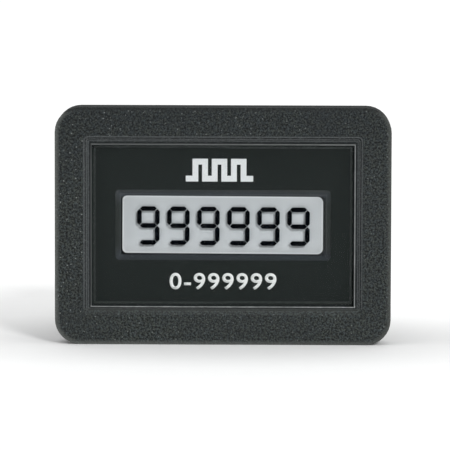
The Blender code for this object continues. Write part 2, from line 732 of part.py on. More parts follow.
def digit_outlines():
    """The lit segments of a row of nines, each a bar with pointed ends, a little low in the window."""
    across = DIGIT_WIDTH / 2 - SEGMENT_WIDTH / 2
    up = DIGIT_HEIGHT / 2 - SEGMENT_WIDTH / 2
    level_half = across - SEGMENT_SPACING
    upright_half = up / 2 - SEGMENT_SPACING
    bars = {
        "a": ((0.0, up), level_half, False),
        "b": ((across, up / 2), upright_half, True),
        "c": ((across, -up / 2), upright_half, True),
        "d": ((0.0, -up), level_half, False),
        "f": ((-across, up / 2), upright_half, True),
        "g": ((0.0, 0.0), level_half, False),
    }
    half = SEGMENT_WIDTH / 2
    outlines = []
    for digit in range(DIGIT_COUNT):
        digit_u = (digit - (DIGIT_COUNT - 1) / 2) * DIGIT_PITCH
        for letter in SEGMENTS_OF_NINE:
            (middle_u, middle_v), reach, upright = bars[letter]
            flat = reach - half
            upper = [(reach, 0.0), (flat, half), (-flat, half)]
            bar = upper + [(-u, -v) for u, v in upper]
            if upright:
                bar = [(-v, u) for u, v in bar]
            outlines.append([(digit_u + middle_u + u, middle_v - DIGIT_DROP + v) for u, v in bar])
    return outlines


def make_display():
    def layer(name, height, start, thickness, finish):
        outline = rectangle(GLASS_WIDTH, height)
        return extrusion(name, [outline], start, start + thickness, finish=finish)

    layer("front_polarizer", FRONT_GLASS_HEIGHT, FRONT_POLARIZER, POLARIZER_THICKNESS, "polarizer_film")
    layer("front_glass", FRONT_GLASS_HEIGHT, FRONT_GLASS, GLASS_THICKNESS, "display_glass")
    rear = layer("rear_glass", REAR_GLASS_HEIGHT, REAR_GLASS, GLASS_THICKNESS, "display_glass")
    segments = extrusion(
        "digit_segments", digit_outlines(), REAR_GLASS - SEGMENT_RELIEF, REAR_GLASS + OVERLAP
    )
    join(rear, segments)
    layer("rear_polarizer", REAR_GLASS_HEIGHT, REFLECTOR, REFLECTOR_THICKNESS, "reflector_film")


def make_lcd_frame():
    gap = 2 * FRAME_CLEARANCE
    outline = rectangle(CAVITY_WIDTH - gap, CAVITY_HEIGHT - gap, FRAME_EDGE_RADIUS)
    frame = extrusion("lcd_frame", [outline], LEDGE, FRAME_BACK, finish="white_moulding")
    step = FRONT_GLASS_BACK + SEAT_GAP
    front = rectangle(GLASS_WIDTH + gap, FRONT_GLASS_HEIGHT + gap)
    cut(frame, extrusion("front_glass_pocket", [front], LEDGE - CUTTER_MARGIN, step))
    rear = rectangle(GLASS_WIDTH + gap, REAR_GLASS_HEIGHT + gap)
    cut(frame, extrusion("rear_glass_pocket", [rear], step - OVERLAP, FRAME_FLOOR))
    slots = [
        rectangle(ZEBRA_LENGTH + gap, ZEBRA_SLOT, centre=(0.0, level * ZEBRA_MIDDLE))
        for level in (-1, 1)
    ]
    cut(frame, extrusion("zebra_slots", slots, step - OVERLAP, FRAME_BACK + CUTTER_MARGIN))
    dome = CHIP_HEIGHT + CHIP_RECESS_CLEARANCE - SEAT_GAP
    radius = CHIP_RADIUS + CHIP_RECESS_CLEARANCE
    cut(frame, cylinder("chip_recess", radius, FRAME_BACK - dome, FRAME_BACK + CUTTER_MARGIN, (0.0, 0.0)))


def make_zebra_strips():
    for name, level in (("zebra_strip_top", 1), ("zebra_strip_bottom", -1)):
        outline = rectangle(ZEBRA_LENGTH, ZEBRA_THICKNESS, centre=(0.0, level * ZEBRA_MIDDLE))
        start = FRONT_GLASS_BACK + SEAT_GAP
        extrusion(name, [outline], start, DISPLAY_BOARD - SEAT_GAP, finish="zebra_rubber")


# Display board and what it carries


def header_places():
    return [
        (HEADER_X, (index - (HEADER_PINS - 1) / 2) * HEADER_PITCH) for index in range(HEADER_PINS)
    ]


def pin_holes():
    return [circle(PIN_HOLE_RADIUS, place, 8) for place in header_places()]


def make_display_board():
    outline = rectangle(BOARD_WIDTH, BOARD_HEIGHT, BOARD_CORNER_RADIUS, steps=2)
    extrusion(
        "display_board",
        [outline, *pin_holes()],
        DISPLAY_BOARD,
        DISPLAY_BOARD_BACK,
        finish="board_green",
    )


def make_controller_chip():
    """A dome of black resin over the bare chip, on the board's front."""
    steps = 4
    profile = []
    for step in range(steps + 1):
        angle = math.pi / 2 * (1 - step / steps)
        profile.append((CHIP_RADIUS * math.cos(angle), CHIP_HEIGHT * math.sin(angle)))
    profile[0] = (0.0, CHIP_HEIGHT)
    profile.append((0.0, 0.0))
    place = (0.0, DISPLAY_BOARD - SEAT_GAP, 0.0)
    turned("controller_chip", profile, place, (math.pi / 2, 0.0, 0.0), "black_epoxy")


def make_crystal():
    """A clock crystal's can, lying on the board, with its two leads bent down to it."""
    x, z = CRYSTAL_PLACE
    radius = CRYSTAL_CAN_RADIUS
    half = CRYSTAL_CAN_LENGTH / 2
    y = DISPLAY_BOARD_BACK + SEAT_GAP + radius
    edge = radius / 4
    profile = [
        (0.0, half),
        (radius - edge, half),
        (radius, half - edge),
        (radius, -half),
        (0.0, -half),
    ]
    can = turned("crystal", profile, (x, y, z), (0.0, 0.0, 0.0), "bright_steel", SMALL_ROUND_STEPS)
    thin = LEAD_RADIUS / 2
    for side in (-1, 1):
        lead_x = x + side * radius / 2
        low = z - half - LEAD_REACH
        route = [
            (lead_x, y, z - half + OVERLAP),
            (lead_x, y, low),
            (lead_x, DISPLAY_BOARD_BACK + SEAT_GAP, low),
        ]
        join(can, wire(f"crystal_lead_{side}", route, thin))


def make_battery():
    cap = CELL_RADIUS - CELL_CAP_INSET
    profile = [
        (0.0, CELL_THICKNESS),
        (CELL_RADIUS - CELL_EDGE, CELL_THICKNESS),
        (CELL_RADIUS, CELL_THICKNESS - CELL_EDGE),
        (CELL_RADIUS, CELL_CAP_STEP + CELL_EDGE),
        (CELL_RADIUS - CELL_EDGE, CELL_CAP_STEP),
        (cap, CELL_CAP_STEP),
        (cap - CELL_EDGE, 0.0),
        (0.0, 0.0),
    ]
    place = (0.0, CELL_FRONT, 0.0)
    turned("battery_cell", profile, place, (-math.pi / 2, 0.0, 0.0), "bright_steel", 32)

    middle = DISPLAY_BOARD_BACK + SEAT_GAP + TAB_THICKNESS / 2
    far = CELL_RADIUS + TAB_REACH
    flat = [(-far, middle), (0.0, middle)]
    make_tab("battery_tab_negative", flat)

    over = CELL_BACK + SEAT_GAP + TAB_THICKNESS / 2
    down = CELL_RADIUS + SEAT_GAP + TAB_THICKNESS + LEAD_REACH / 2
    folded = [(0.0, over), (down, over), (down, DISPLAY_BOARD_BACK + SEAT_GAP)]
    make_tab("battery_tab_positive", folded)


def make_tab(name, path):
    """A strip of thin nickel sheet along a path in the (x, y) plane."""
    outline = sheet_outline(path, TAB_THICKNESS, TAB_THICKNESS)
    extrusion(name, [outline], -TAB_WIDTH / 2, TAB_WIDTH / 2, "Z", "bright_steel")


def make_pin_header():
    start = DISPLAY_BOARD_BACK + SEAT_GAP
    length = HEADER_PINS * HEADER_PITCH
    place = (HEADER_X, start + HEADER_STRIP / 2, 0.0)
    header = box("pin_header", (HEADER_STRIP, HEADER_STRIP, length), place, "black_epoxy")
    for index, spot in enumerate(header_places(), 1):
        end = INPUT_BOARD_BACK + PIN_OVERSHOOT
        near = DISPLAY_BOARD + SLIDE_GAP
        join(header, cylinder(f"header_pin_{index}", PIN_RADIUS, near, end, spot, steps=8))


# Input board and what it carries


def terminal_places():
    return [(index - (TERMINAL_COUNT - 1) / 2) * TERMINAL_PITCH for index in range(TERMINAL_COUNT)]


def make_input_board():
    """A board with two corners notched round the stud bosses, and holes for the soldered pins."""
    right = BOARD_WIDTH / 2
    top = BOARD_HEIGHT / 2
    notch_x = STUD_X - STUD_RADIUS - BOSS_WALL - SLIDE_GAP
    notch_z = STUD_Z - STUD_RADIUS - BOSS_WALL - SLIDE_GAP
    outline = [
        (right, top),
        (-notch_x, top),
        (-notch_x, notch_z),
        (-right, notch_z),
        (-right, -top),
        (notch_x, -top),
        (notch_x, -notch_z),
        (right, -notch_z),
    ]
    holes = pin_holes()
    for x in terminal_places():
        for level in (-1, 1):
            width = BLADE_THICKNESS + 2 * SLIDE_GAP
            height = BOARD_LEG_WIDTH + 2 * SLIDE_GAP
            holes.append(rectangle(width, height, centre=(x, level * BOARD_LEG_SPACING / 2)))
    extrusion("input_board", [outline, *holes], INPUT_BOARD, INPUT_BOARD_BACK, finish="board_green")


def make_chip(name, size, place):
    """A moulded chip on the board's front, with two legs on each short side."""
    width, depth, height = size
    x, z = place
    back = INPUT_BOARD - CHIP_STANDOFF
    outline = rectangle(width, height)
    chip = extrusion(name, [outline], back - depth, back, finish="black_epoxy", centre=(x, z))
    round_edges(chip, CHIP_EDGE_CHAMFER, 1, at_front)
    seat = INPUT_BOARD - SEAT_GAP
    reach = width / 2 + CHIP_LEG_SPREAD
    middle = back - depth / 2
    path = [(-reach, seat), (-reach, middle), (reach, middle), (reach, seat)]
    staple = sheet_outline(path, CHIP_LEG_THICKNESS, CHIP_LEG_THICKNESS / 2)
    for side in (-1, 1):
        start = z + (side * CHIP_LEG_PITCH - CHIP_LEG_WIDTH) / 2
        end = start + CHIP_LEG_WIDTH
        join(chip, extrusion(f"{name}_legs_{side}", [staple], start, end, "Z", centre=(x, 0.0)))


def make_resistor(name, place):
    x, z = place
    y = INPUT_BOARD - SEAT_GAP - RESISTOR_RADIUS
    half = RESISTOR_LENGTH / 2
    cap = RESISTOR_RADIUS
    waist = RESISTOR_RADIUS - RESISTOR_WAIST_DEPTH
    profile = [
        (0.0, half),
        (RESISTOR_RADIUS - LEAD_RADIUS, half),
        (RESISTOR_RADIUS, half - LEAD_RADIUS),
        (RESISTOR_RADIUS, half - cap),
        (waist, half - cap - LEAD_RADIUS),
        (waist, cap + LEAD_RADIUS - half),
        (RESISTOR_RADIUS, cap - half),
        (RESISTOR_RADIUS, LEAD_RADIUS - half),
        (RESISTOR_RADIUS - LEAD_RADIUS, -half),
        (0.0, -half),
    ]
    rotation = (0.0, math.pi / 2, 0.0)
    resistor = turned(name, profile, (x, y, z), rotation, "resistor_beige", SMALL_ROUND_STEPS)
    reach = half + LEAD_REACH
    seat = INPUT_BOARD - SEAT_GAP
    route = [(x - reach, seat, z), (x - reach, y, z), (x + reach, y, z), (x + reach, seat, z)]
    join(resistor, wire(f"{name}_lead", route, LEAD_RADIUS))


def make_capacitor():
    """A can that lies on the board, with its crimp and both leads at its right end."""
    x, z = CAPACITOR_PLACE
    y = INPUT_BOARD - SEAT_GAP - CAPACITOR_RADIUS
    half = CAPACITOR_LENGTH / 2
    crimp = half - CAPACITOR_RADIUS / 2
    radius = CAPACITOR_RADIUS
    profile = [
        (0.0, half),
        (radius - CAPACITOR_CRIMP, half),
        (radius, half - CAPACITOR_CRIMP),
        (radius, crimp + 2 * CAPACITOR_CRIMP),
        (radius - CAPACITOR_CRIMP, crimp),
        (radius, crimp - 2 * CAPACITOR_CRIMP),
        (radius, CAPACITOR_CRIMP - half),
        (radius - CAPACITOR_CRIMP, -half),
        (0.0, -half),
    ]
    rotation = (0.0, math.pi / 2, 0.0)
    can = turned("capacitor", profile, (x, y, z), rotation, "capacitor_sleeve", 16)
    for side in (-1, 1):
        lead_z = z + side * LEAD_PITCH / 2
        far = x + half + LEAD_REACH
        seat = INPUT_BOARD - SEAT_GAP
        route = [(x + half - OVERLAP, y, lead_z), (far, y, lead_z), (far, seat, lead_z)]
        join(can, wire(f"capacitor_lead_{side}", route, LEAD_RADIUS))


def make_varistor():
    """A coated disc that lies just off the board, on its two short leads."""
    x, z = VARISTOR_PLACE
    back = INPUT_BOARD - CHIP_STANDOFF
    edge = VARISTOR_THICKNESS / 4
    radius = VARISTOR_RADIUS
    profile = [
        (0.0, VARISTOR_THICKNESS),
        (radius - edge, VARISTOR_THICKNESS),
        (radius, VARISTOR_THICKNESS - edge),
        (radius, edge),
        (radius - edge, 0.0),
        (0.0, 0.0),
    ]
    rotation = (math.pi / 2, 0.0, 0.0)
    disc = turned("varistor", profile, (x, back, z), rotation, "varistor_blue", 20)
    for side in (-1, 1):
        spot = (x + side * LEAD_PITCH / 2, z)
        lead = cylinder(
            f"varistor_lead_{side}", LEAD_RADIUS, back - OVERLAP, INPUT_BOARD - SEAT_GAP, spot, steps=8
        )
        join(disc, lead)


def make_terminals():
    """Four flat blades that stand on the input board and come out through the cover's block."""
    seat = INPUT_BOARD_BACK + SEAT_GAP
    top = seat + SHOULDER_HEIGHT
    toe = INPUT_BOARD - BOARD_LEG_OVERSHOOT
    inner = (BOARD_LEG_SPACING - BOARD_LEG_WIDTH) / 2
    outer = (BOARD_LEG_SPACING + BOARD_LEG_WIDTH) / 2
    blade = BLADE_WIDTH / 2
    upper_half = [
        (inner, seat),
        (inner, toe),
        (outer, toe),
        (outer, seat),
        (SHOULDER_WIDTH / 2, seat),
        (SHOULDER_WIDTH / 2, top),
        (blade, top),
        (blade, BLADE_TIP - 2 * BLADE_TIP_CHAMFER),
        (blade - BLADE_TIP_CHAMFER, BLADE_TIP),
    ]
    outline = [(y, z) for z, y in mirrored(upper_half)]
    hole = circle(BLADE_HOLE_RADIUS, (BLADE_TIP - BLADE_HOLE_INSET, 0.0))
    for index, x in enumerate(terminal_places(), 1):
        start = x - BLADE_THICKNESS / 2
        extrusion(
            f"terminal_{index}", [outline, hole], start, start + BLADE_THICKNESS, "X", "tinned_brass"
        )


# Rear cover and fixings


def make_rear_cover():
    outline = rectangle(BODY_WIDTH, BODY_HEIGHT, BODY_CORNER_RADIUS)
    cover = extrusion("rear_cover", [outline], COVER_FRONT, COVER_BACK, finish="cover_moulding")
    round_edges(cover, COVER_EDGE_ROUNDING, 2, at_back)
    block_outline = rectangle(BLOCK_WIDTH, BLOCK_HEIGHT, BLOCK_CORNER_RADIUS)
    block = extrusion("terminal_block", [block_outline], COVER_BACK - OVERLAP, BLOCK_FACE)
    round_edges(block, COVER_EDGE_ROUNDING, 2, at_back)
    join(cover, block)
    for side in (-1, 1):
        for level in (-1, 1):
            join(cover, snap_tongue(side, level))
    slots = [
        rectangle(
            BLADE_THICKNESS + 2 * SLIDE_GAP,
            BLADE_WIDTH + 2 * SLIDE_GAP,
            centre=(x, 0.0),
        )
        for x in terminal_places()
    ]
    tool = extrusion("blade_slots", slots, COVER_FRONT - CUTTER_MARGIN, BLOCK_FACE + CUTTER_MARGIN)
    cut(cover, tool)
    for index, spot in enumerate(STUD_PLACES, 1):
        tool = cylinder(
            f"cover_hole_{index}",
            STUD_RADIUS + HOLE_CLEARANCE,
            COVER_FRONT - CUTTER_MARGIN,
            COVER_BACK + CUTTER_MARGIN,
            spot,
        )
        cut(cover, tool)


def snap_tongue(side, level):
    """A springy tongue inside a long wall, whose nose sits in a window of that wall."""
    outer = CAVITY_HEIGHT / 2 - SLIDE_GAP
    section = [
        (COVER_FRONT + OVERLAP, outer - TONGUE_THICKNESS),
        (COVER_FRONT + OVERLAP, outer),
        (TONGUE_TIP + NOSE_LENGTH, outer),
        (TONGUE_TIP + NOSE_LENGTH, outer + NOSE_RISE),
        (TONGUE_TIP, outer - TONGUE_THICKNESS / 4),
        (TONGUE_TIP, outer - TONGUE_THICKNESS),
    ]
    outline = [(y, level * z) for y, z in section]
    start = side * TONGUE_OFFSET - TONGUE_WIDTH / 2
    return extrusion(f"tongue_{side}_{level}", [outline], start, start + TONGUE_WIDTH, "X")


def make_bracket():
    """A strip folded round the body, with a foot at each end that presses on the panel's back."""
    inside = BODY_WIDTH / 2 + BRACKET_CLEARANCE
    leg = inside + BRACKET_THICKNESS / 2
    foot = PANEL_THICKNESS + BRACKET_THICKNESS / 2
    base = BRACKET_FRONT + BRACKET_THICKNESS / 2
    toe = inside + BRACKET_FOOT_LENGTH
    path = [(-toe, foot), (-leg, foot), (-leg, base), (leg, base), (leg, foot), (toe, foot)]
    outline = sheet_outline(path, BRACKET_THICKNESS, BRACKET_BEND_RADIUS)
    half = BRACKET_HEIGHT / 2
    bracket = extrusion("mounting_bracket", [outline], -half, half, "Z", "zinc_plate")

    bend = inside - BRACKET_BEND_RADIUS - SEAT_GAP
    spare = (BRACKET_HEIGHT - BRACKET_LEG_WIDTH) / 2 + CUTTER_MARGIN
    middle = BRACKET_LEG_WIDTH / 2 + spare / 2
    corners = []
    for side in (-1, 1):
        for level in (-1, 1):
            width = toe + CUTTER_MARGIN - bend
            centre = (side * (bend + width / 2), level * middle)
            corners.append(rectangle(width, spare, centre=centre))
    far = BRACKET_BACK + CUTTER_MARGIN
    cut(bracket, extrusion("leg_reliefs", corners, PANEL_THICKNESS - CUTTER_MARGIN, far))

    near = BRACKET_FRONT - CUTTER_MARGIN
    window = rectangle(
        BLOCK_WIDTH + 2 * BRACKET_WINDOW_CLEARANCE,
        BLOCK_HEIGHT + 2 * BRACKET_WINDOW_CLEARANCE,
        BRACKET_WINDOW_RADIUS,
    )
    cut(bracket, extrusion("block_window", [window], near, far))
    for index, spot in enumerate(STUD_PLACES, 1):
        tool = cylinder(f"bracket_hole_{index}", STUD_RADIUS + HOLE_CLEARANCE, near, far, spot)
        cut(bracket, tool)


def make_studs():
    length = STUD_END - STUD_FRONT
    tip = STUD_RADIUS - STUD_CHAMFER
    profile = [
        (0.0, length),
        (tip, length),
        (STUD_RADIUS, length - STUD_CHAMFER),
        (STUD_RADIUS, STUD_CHAMFER),
        (tip, 0.0),
        (0.0, 0.0),
    ]
    for index, (x, z) in enumerate(STUD_PLACES, 1):
        turned(f"stud_{index}", profile, (x, STUD_FRONT, z), (-math.pi / 2, 0.0, 0.0), "fastener_steel")


def make_lock_washers():
    outline = circle(WASHER_RADIUS, steps=ROUND_STEPS)
    hole = circle(STUD_RADIUS + SLIDE_GAP, steps=ROUND_STEPS)
    end = WASHER_FRONT + WASHER_THICKNESS
    for index, spot in enumerate(STUD_PLACES, 1):
        name = f"lock_washer_{index}"
        washer = extrusion(name, [outline, hole], WASHER_FRONT, end, finish="fastener_steel", centre=spot)
        size = (WASHER_RADIUS, WASHER_THICKNESS + 2 * OVERLAP, WASHER_SPLIT)
        middle = (spot[0] + WASHER_RADIUS / 2 + STUD_RADIUS / 2, (WASHER_FRONT + end) / 2, spot[1])
        cut(washer, box(f"washer_split_{index}", size, middle))


def make_clamp_nuts():
    """Hexagonal nuts, whose corners are turned off at both faces."""
    corner = NUT_ACROSS_FLATS / math.sqrt(3)
    reach = corner + NUT_CHAMFER
    flat = NUT_ACROSS_FLATS / 2
    profile = [
        (0.0, NUT_HEIGHT),
        (flat, NUT_HEIGHT),
        (reach, NUT_HEIGHT - (reach - flat) * math.tan(math.radians(30))),
        (reach, (reach - flat) * math.tan(math.radians(30))),
        (flat, 0.0),
        (0.0, 0.0),
    ]
    bore = STUD_RADIUS + SEAT_GAP
    for index, (x, z) in enumerate(STUD_PLACES, 1):
        name = f"clamp_nut_{index}"
        end = NUT_FRONT + NUT_HEIGHT
        hexagon = circle(corner, steps=6)
        nut = extrusion(name, [hexagon], NUT_FRONT, end, finish="fastener_steel", centre=(x, z))
        turning = turned(
            f"{name}_turning", profile, (x, NUT_FRONT, z), (-math.pi / 2, 0.0, 0.0), steps=ROUND_STEPS
        )
        boolean(nut, turning, "INTERSECT")
        cut(nut, cylinder(f"{name}_bore", bore, NUT_FRONT - OVERLAP, end + OVERLAP, (x, z)))


def main():
    make_bezel_housing()
    make_gasket()
    make_lens()
    make_dial_plate()
    make_display()
    make_lcd_frame()
    make_zebra_strips()
    make_display_board()
    make_controller_chip()
    make_crystal()
    make_battery()
    make_pin_header()
    make_input_board()
    for index, place in enumerate(OPTO_PLACES, 1):
        make_chip(f"optocoupler_{index}", OPTO_BODY, place)
    make_chip("rectifier", RECTIFIER_BODY, RECTIFIER_PLACE)
    for index, place in enumerate(RESISTOR_PLACES, 1):
        make_resistor(f"resistor_{index}", place)
    make_capacitor()
    make_varistor()
    make_terminals()
    make_rear_cover()
    make_bracket()
    make_studs()
    make_lock_washers()
    make_clamp_nuts()


main()
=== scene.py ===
"""Looks of the panel counter: materials, printed marks, display, threads, studio and camera."""

import math

import bmesh
import bpy
from mathutils import Matrix, Vector


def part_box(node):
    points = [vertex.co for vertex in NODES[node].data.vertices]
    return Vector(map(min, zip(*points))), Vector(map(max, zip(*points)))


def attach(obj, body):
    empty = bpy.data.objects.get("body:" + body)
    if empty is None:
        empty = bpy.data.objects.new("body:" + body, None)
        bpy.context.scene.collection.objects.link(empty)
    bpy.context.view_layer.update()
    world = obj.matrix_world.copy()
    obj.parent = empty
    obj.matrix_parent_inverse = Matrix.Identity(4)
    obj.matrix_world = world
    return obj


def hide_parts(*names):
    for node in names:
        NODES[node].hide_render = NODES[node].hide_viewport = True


MM = 0.001

# Sizes in mm of what the imported solids don't give by their boxes, and turns in degrees.
# Pairs go along X and Z; SIDES are left and right, and LEVELS are low and high.

# Bezel: its rounding, the lens's pocket and the ring of moulded lines, partly painted highlights,
# that slopes down to it
BEZEL_CORNER_RADIUS = 3.9
BEZEL_ROUNDING_DEPTH = 0.55
POCKET_HALF = (20.61, 12.82)
RECESS_SLOPE = 0.98
RING_CORNER_RADIUS = 0.1
RING_CORNER_POWER = 3.5
RING_RISE = 0.13
LENS_CHAMFER = 0.2

# Window of the dial, whose inner edge settled a little low and leans to the right
WINDOW_HALF = (15.71, 4.5)
WINDOW_DROP = 0.06
WINDOW_BEVEL = (1.02, 0.96)
WINDOW_BEVEL_DEPTH = 0.92
WINDOW_BEVEL_RADIUS = 0.6
WINDOW_TURN = 0.23
WINDOW_SETTLE = 0.05
WINDOW_LEFT_IN = 0.045
WINDOW_SLACK = 0.02

# What shows of the reflector within its dark border, which starts further out at the left
SHOWN_HALF = (15.63, 4.49)
SHOWN_MIDDLE = (-0.11, -0.32)
SHOWN_RADIUS = 0.9
SHOWN_MORE_AT_LEFT = 0.15

# Digits, in a row that sits low and leans as well, at a distance in front of the reflector
DIGITS = 6
DIGIT_PITCH = 4.68
DIGIT_SIZE = (3.5, 6.0)
DIGIT_DROP = 0.46
DIGIT_TURN = 0.3
SEGMENT_WIDTH = 0.71
SEGMENT_SPACING = 0.07
SEGMENT_RELIEF = 0.12
SEGMENT_GAP = 0.58

# Marks printed on the dial
PRINT_THICKNESS = 0.02
PULSE_SIDES = (-5.8, 4.64)
PULSE_LEVELS = (7.2, 9.84)
PULSE_STEPS = 7
PULSE_STROKE = 0.9
NUMBERS_TEXT = "0-999999"
NUMBERS_SIZE = (16.6, 2.6)
NUMBERS_LEVEL = -8.79

# Studs, with flats on the thread as shares of its pitch, and numbers beside the terminals
STUD_RADIUS = 1.5
THREAD_PITCH = 0.5
THREAD_DEPTH = 0.27
THREAD_FLAT = 0.12
THREAD_ROOT_FROM = 0.7
THREAD_CHAMFER = 0.3
THREAD_SIDES = 24
THREAD_RINGS_PER_TURN = 8
TERMINAL_NUMBER_HEIGHT = 1.6
TERMINAL_NUMBER_WIDTHS = (0.5, 1.1, 1.1, 1.1)
TERMINAL_NUMBER_RELIEF = 0.15
TERMINAL_NUMBER_PLACE = (-1.9, 2.6)

# Resistors, with their colour bands measured from the middle
RESISTORS = ("resistor_1", "resistor_2", "resistor_3")
RESISTOR_HALF_LENGTH = 4.6
RESISTOR_HALF_HEIGHT = 1.5
RESISTOR_BANDS = (-1.9, -0.9, 0.1, 1.9)
RESISTOR_BAND_HALF_WIDTH = 0.28

# Camera and light: FOCAL_PIXELS is the length of the lens in pixels of the photo
PHOTO_WIDTH = 450
FOCAL_PIXELS = 3881.5
SENSOR_WIDTH = 36.0
CAMERA_AZIMUTH = 0.85
CAMERA_ELEVATION = 5.4
CAMERA_ROLL = 0.13
CAMERA_AIM = (0.32, -6.0, 0.165)
CAMERA_DISTANCE = 600.0
SUN_AZIMUTH = 25.0
SUN_ELEVATION = 28.0
SUN_STRENGTH = 1.75
SUN_SPREAD = 12.0
FLOOR_HALF = 12000.0

WHITE = (1.0, 1.0, 1.0, 1.0)
BLACK = (0.0, 0.0, 0.0, 1.0)
CLEAR_TINT = (0.99, 0.992, 0.992, 1.0)

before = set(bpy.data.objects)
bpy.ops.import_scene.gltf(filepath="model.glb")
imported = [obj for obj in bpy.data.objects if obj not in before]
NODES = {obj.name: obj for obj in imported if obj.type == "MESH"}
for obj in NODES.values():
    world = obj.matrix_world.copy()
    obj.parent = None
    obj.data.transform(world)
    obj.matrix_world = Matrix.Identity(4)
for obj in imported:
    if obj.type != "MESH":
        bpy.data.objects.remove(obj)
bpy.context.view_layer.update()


def linear(red, green, blue):
    """A colour given as it shows on screen, 0 to 255, as the linear values that a shader takes."""
    made = []
    for value in (red, green, blue):
        share = value / 255
        made.append(share / 12.92 if share <= 0.04045 else ((share + 0.055) / 1.055) ** 2.4)
    return (*made, 1.0)


def scaled(colour, factor):
    """A colour made darker or paler by a factor."""
    return (*[value * factor for value in colour[:3]], 1.0)


class Look:
    """A material with a Principled shader, and short calls for the nodes that feed it."""

    def __init__(self, name, **inputs):
        self.material = bpy.data.materials.new(name)
        self.material.use_nodes = True
        self.tree = self.material.node_tree
        self.shader = self.tree.nodes["Principled BSDF"]
        self.output = self.tree.nodes["Material Output"]
        for socket, value in inputs.items():
            self.set(socket.replace("_", " "), value)
        place = self.node("ShaderNodeTexCoord")
        grown = self.node("ShaderNodeVectorMath", operation="SCALE")
        self.feed(grown, 0, place.outputs["Object"])
        self.feed(grown, "Scale", 1 / MM)
        self.point = grown.outputs["Vector"]
        parts = self.node("ShaderNodeSeparateXYZ")
        self.feed(parts, 0, self.point)
        self.x, self.y, self.z = parts.outputs

    def node(self, kind, **settings):
        made = self.tree.nodes.new(kind)
        for setting, value in settings.items():
            setattr(made, setting, value)
        return made

    def feed(self, node, socket, value):
        """Links a socket, or sets its own value where it isn't fed by a node."""
        if isinstance(value, bpy.types.NodeSocket):
            self.tree.links.new(value, node.inputs[socket])
        else:
            node.inputs[socket].default_value = value

    def set(self, socket, value):
        self.feed(self.shader, socket, value)

    def calc(self, operation, *values):
        made = self.node("ShaderNodeMath", operation=operation)
        for index, value in enumerate(values):
            self.feed(made, index, value)
        return made.outputs[0]

    def plus(self, first, second):
        return self.calc("ADD", first, second)

    def minus(self, first, second):
        return self.calc("SUBTRACT", first, second)

    def times(self, first, second):
        return self.calc("MULTIPLY", first, second)

    def stretched(self, scale):
        """The point in mm, with each direction scaled by its own factor."""
        made = self.node("ShaderNodeVectorMath", operation="MULTIPLY")
        self.feed(made, 0, self.point)
        self.feed(made, 1, scale)
        return made.outputs["Vector"]

    def noise(self, size, detail=2.0, roughness=0.5, vector=None):
        """Soft noise from 0 to 1, whose blots are about that size in mm."""
        made = self.node("ShaderNodeTexNoise")
        self.feed(made, "Vector", vector or self.point)
        self.feed(made, "Scale", 1 / size)
        self.feed(made, "Detail", detail)
        self.feed(made, "Roughness", roughness)
        return made.outputs["Fac"]

    def cells(self, size, feature="F1", output="Distance"):
        """Cells about that size in mm: the distance from a cell's middle, or another output."""
        made = self.node("ShaderNodeTexVoronoi", feature=feature)
        self.feed(made, "Vector", self.point)
        self.feed(made, "Scale", 1 / size)
        return made.outputs[output]

    def fade(self, value, low, high, to_low=0.0, to_high=1.0):
        """The value from low to high, stretched to another range and held at its ends."""
        made = self.node("ShaderNodeMapRange", clamp=True)
        for index, number in enumerate((value, low, high, to_low, to_high)):
            self.feed(made, index, number)
        return made.outputs["Result"]

    def mix(self, share, first, second):
        """The first colour where the share is 0, and the second where it is 1."""
        made = self.node("ShaderNodeMix", data_type="RGBA")
        self.feed(made, "Factor", share)
        self.feed(made, 6, first)
        self.feed(made, 7, second)
        return made.outputs[2]

    def ramp(self, value, stops):
        """A colour for each value from 0 to 1, out of (position, colour) stops."""
        made = self.node("ShaderNodeValToRGB")
        marks = made.color_ramp.elements
        while len(marks) < len(stops):
            marks.new(0.5)
        for mark, (position, colour) in zip(marks, stops):
            mark.position = position
            mark.color = colour
        self.feed(made, "Fac", value)
        return made.outputs["Color"]

    def bump(self, height, depth):
        """Relief as deep as the given depth in mm where the height goes from 0 to 1."""
        made = self.node("ShaderNodeBump")
        self.feed(made, "Strength", 1.0)
        self.feed(made, "Distance", depth * MM)
        self.feed(made, "Height", height)
        self.set("Normal", made.outputs["Normal"])

    def dress(self, *names):
        """Puts this finish on the CAD nodes of those names."""
        for name in names:
            obj = NODES[name]
            if not obj.material_slots:
                obj.data.materials.append(None)
            for slot in obj.material_slots:
                slot.material = self.material


# Mesh pieces


def finish_piece(name, mesh, looks, smooth=None):
    """An object of the root body, with the given finishes."""
    for look in looks:
        mesh.materials.append(look.material)
    obj = bpy.data.objects.new(name, mesh)
    bpy.context.scene.collection.objects.link(obj)
    if smooth is not None:
        mesh.shade_smooth()
        mesh.set_sharp_from_angle(angle=math.radians(smooth))
    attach(obj, "root")
    return obj


def mesh_of(work, name):
    """Ends the work on a bmesh, and gives its mesh with all faces turned outwards."""
    bmesh.ops.recalc_face_normals(work, faces=work.faces)
    mesh = bpy.data.meshes.new(name)
    work.to_mesh(mesh)
    work.free()
    return mesh


def add_prism(work, outline, front, back):
    """A closed prism along Y over an outline of (x, z) points, all in mm."""
    rings = []
    for y in (front, back):
        rings.append([work.verts.new((x * MM, y * MM, z * MM)) for x, z in outline])
    work.faces.new(rings[0])
    work.faces.new(rings[1][::-1])
    for index in range(len(outline)):
        after = (index + 1) % len(outline)
        work.faces.new((rings[0][index], rings[1][index], rings[1][after], rings[0][after]))


def box_mm(node):
    """The lowest and highest corner of a CAD node, in mm."""
    low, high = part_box(node)
    return [value / MM for value in low], [value / MM for value in high]


# Housing and other moulded parts


def edge_distance(look, half_width, half_height):
    """How far a point lies outside a rectangle round the Y axis, in mm; negative inside it."""
    across = look.minus(look.calc("ABSOLUTE", look.x), half_width)
    up = look.minus(look.calc("ABSOLUTE", look.z), half_height)
    return look.calc("MAXIMUM", across, up)


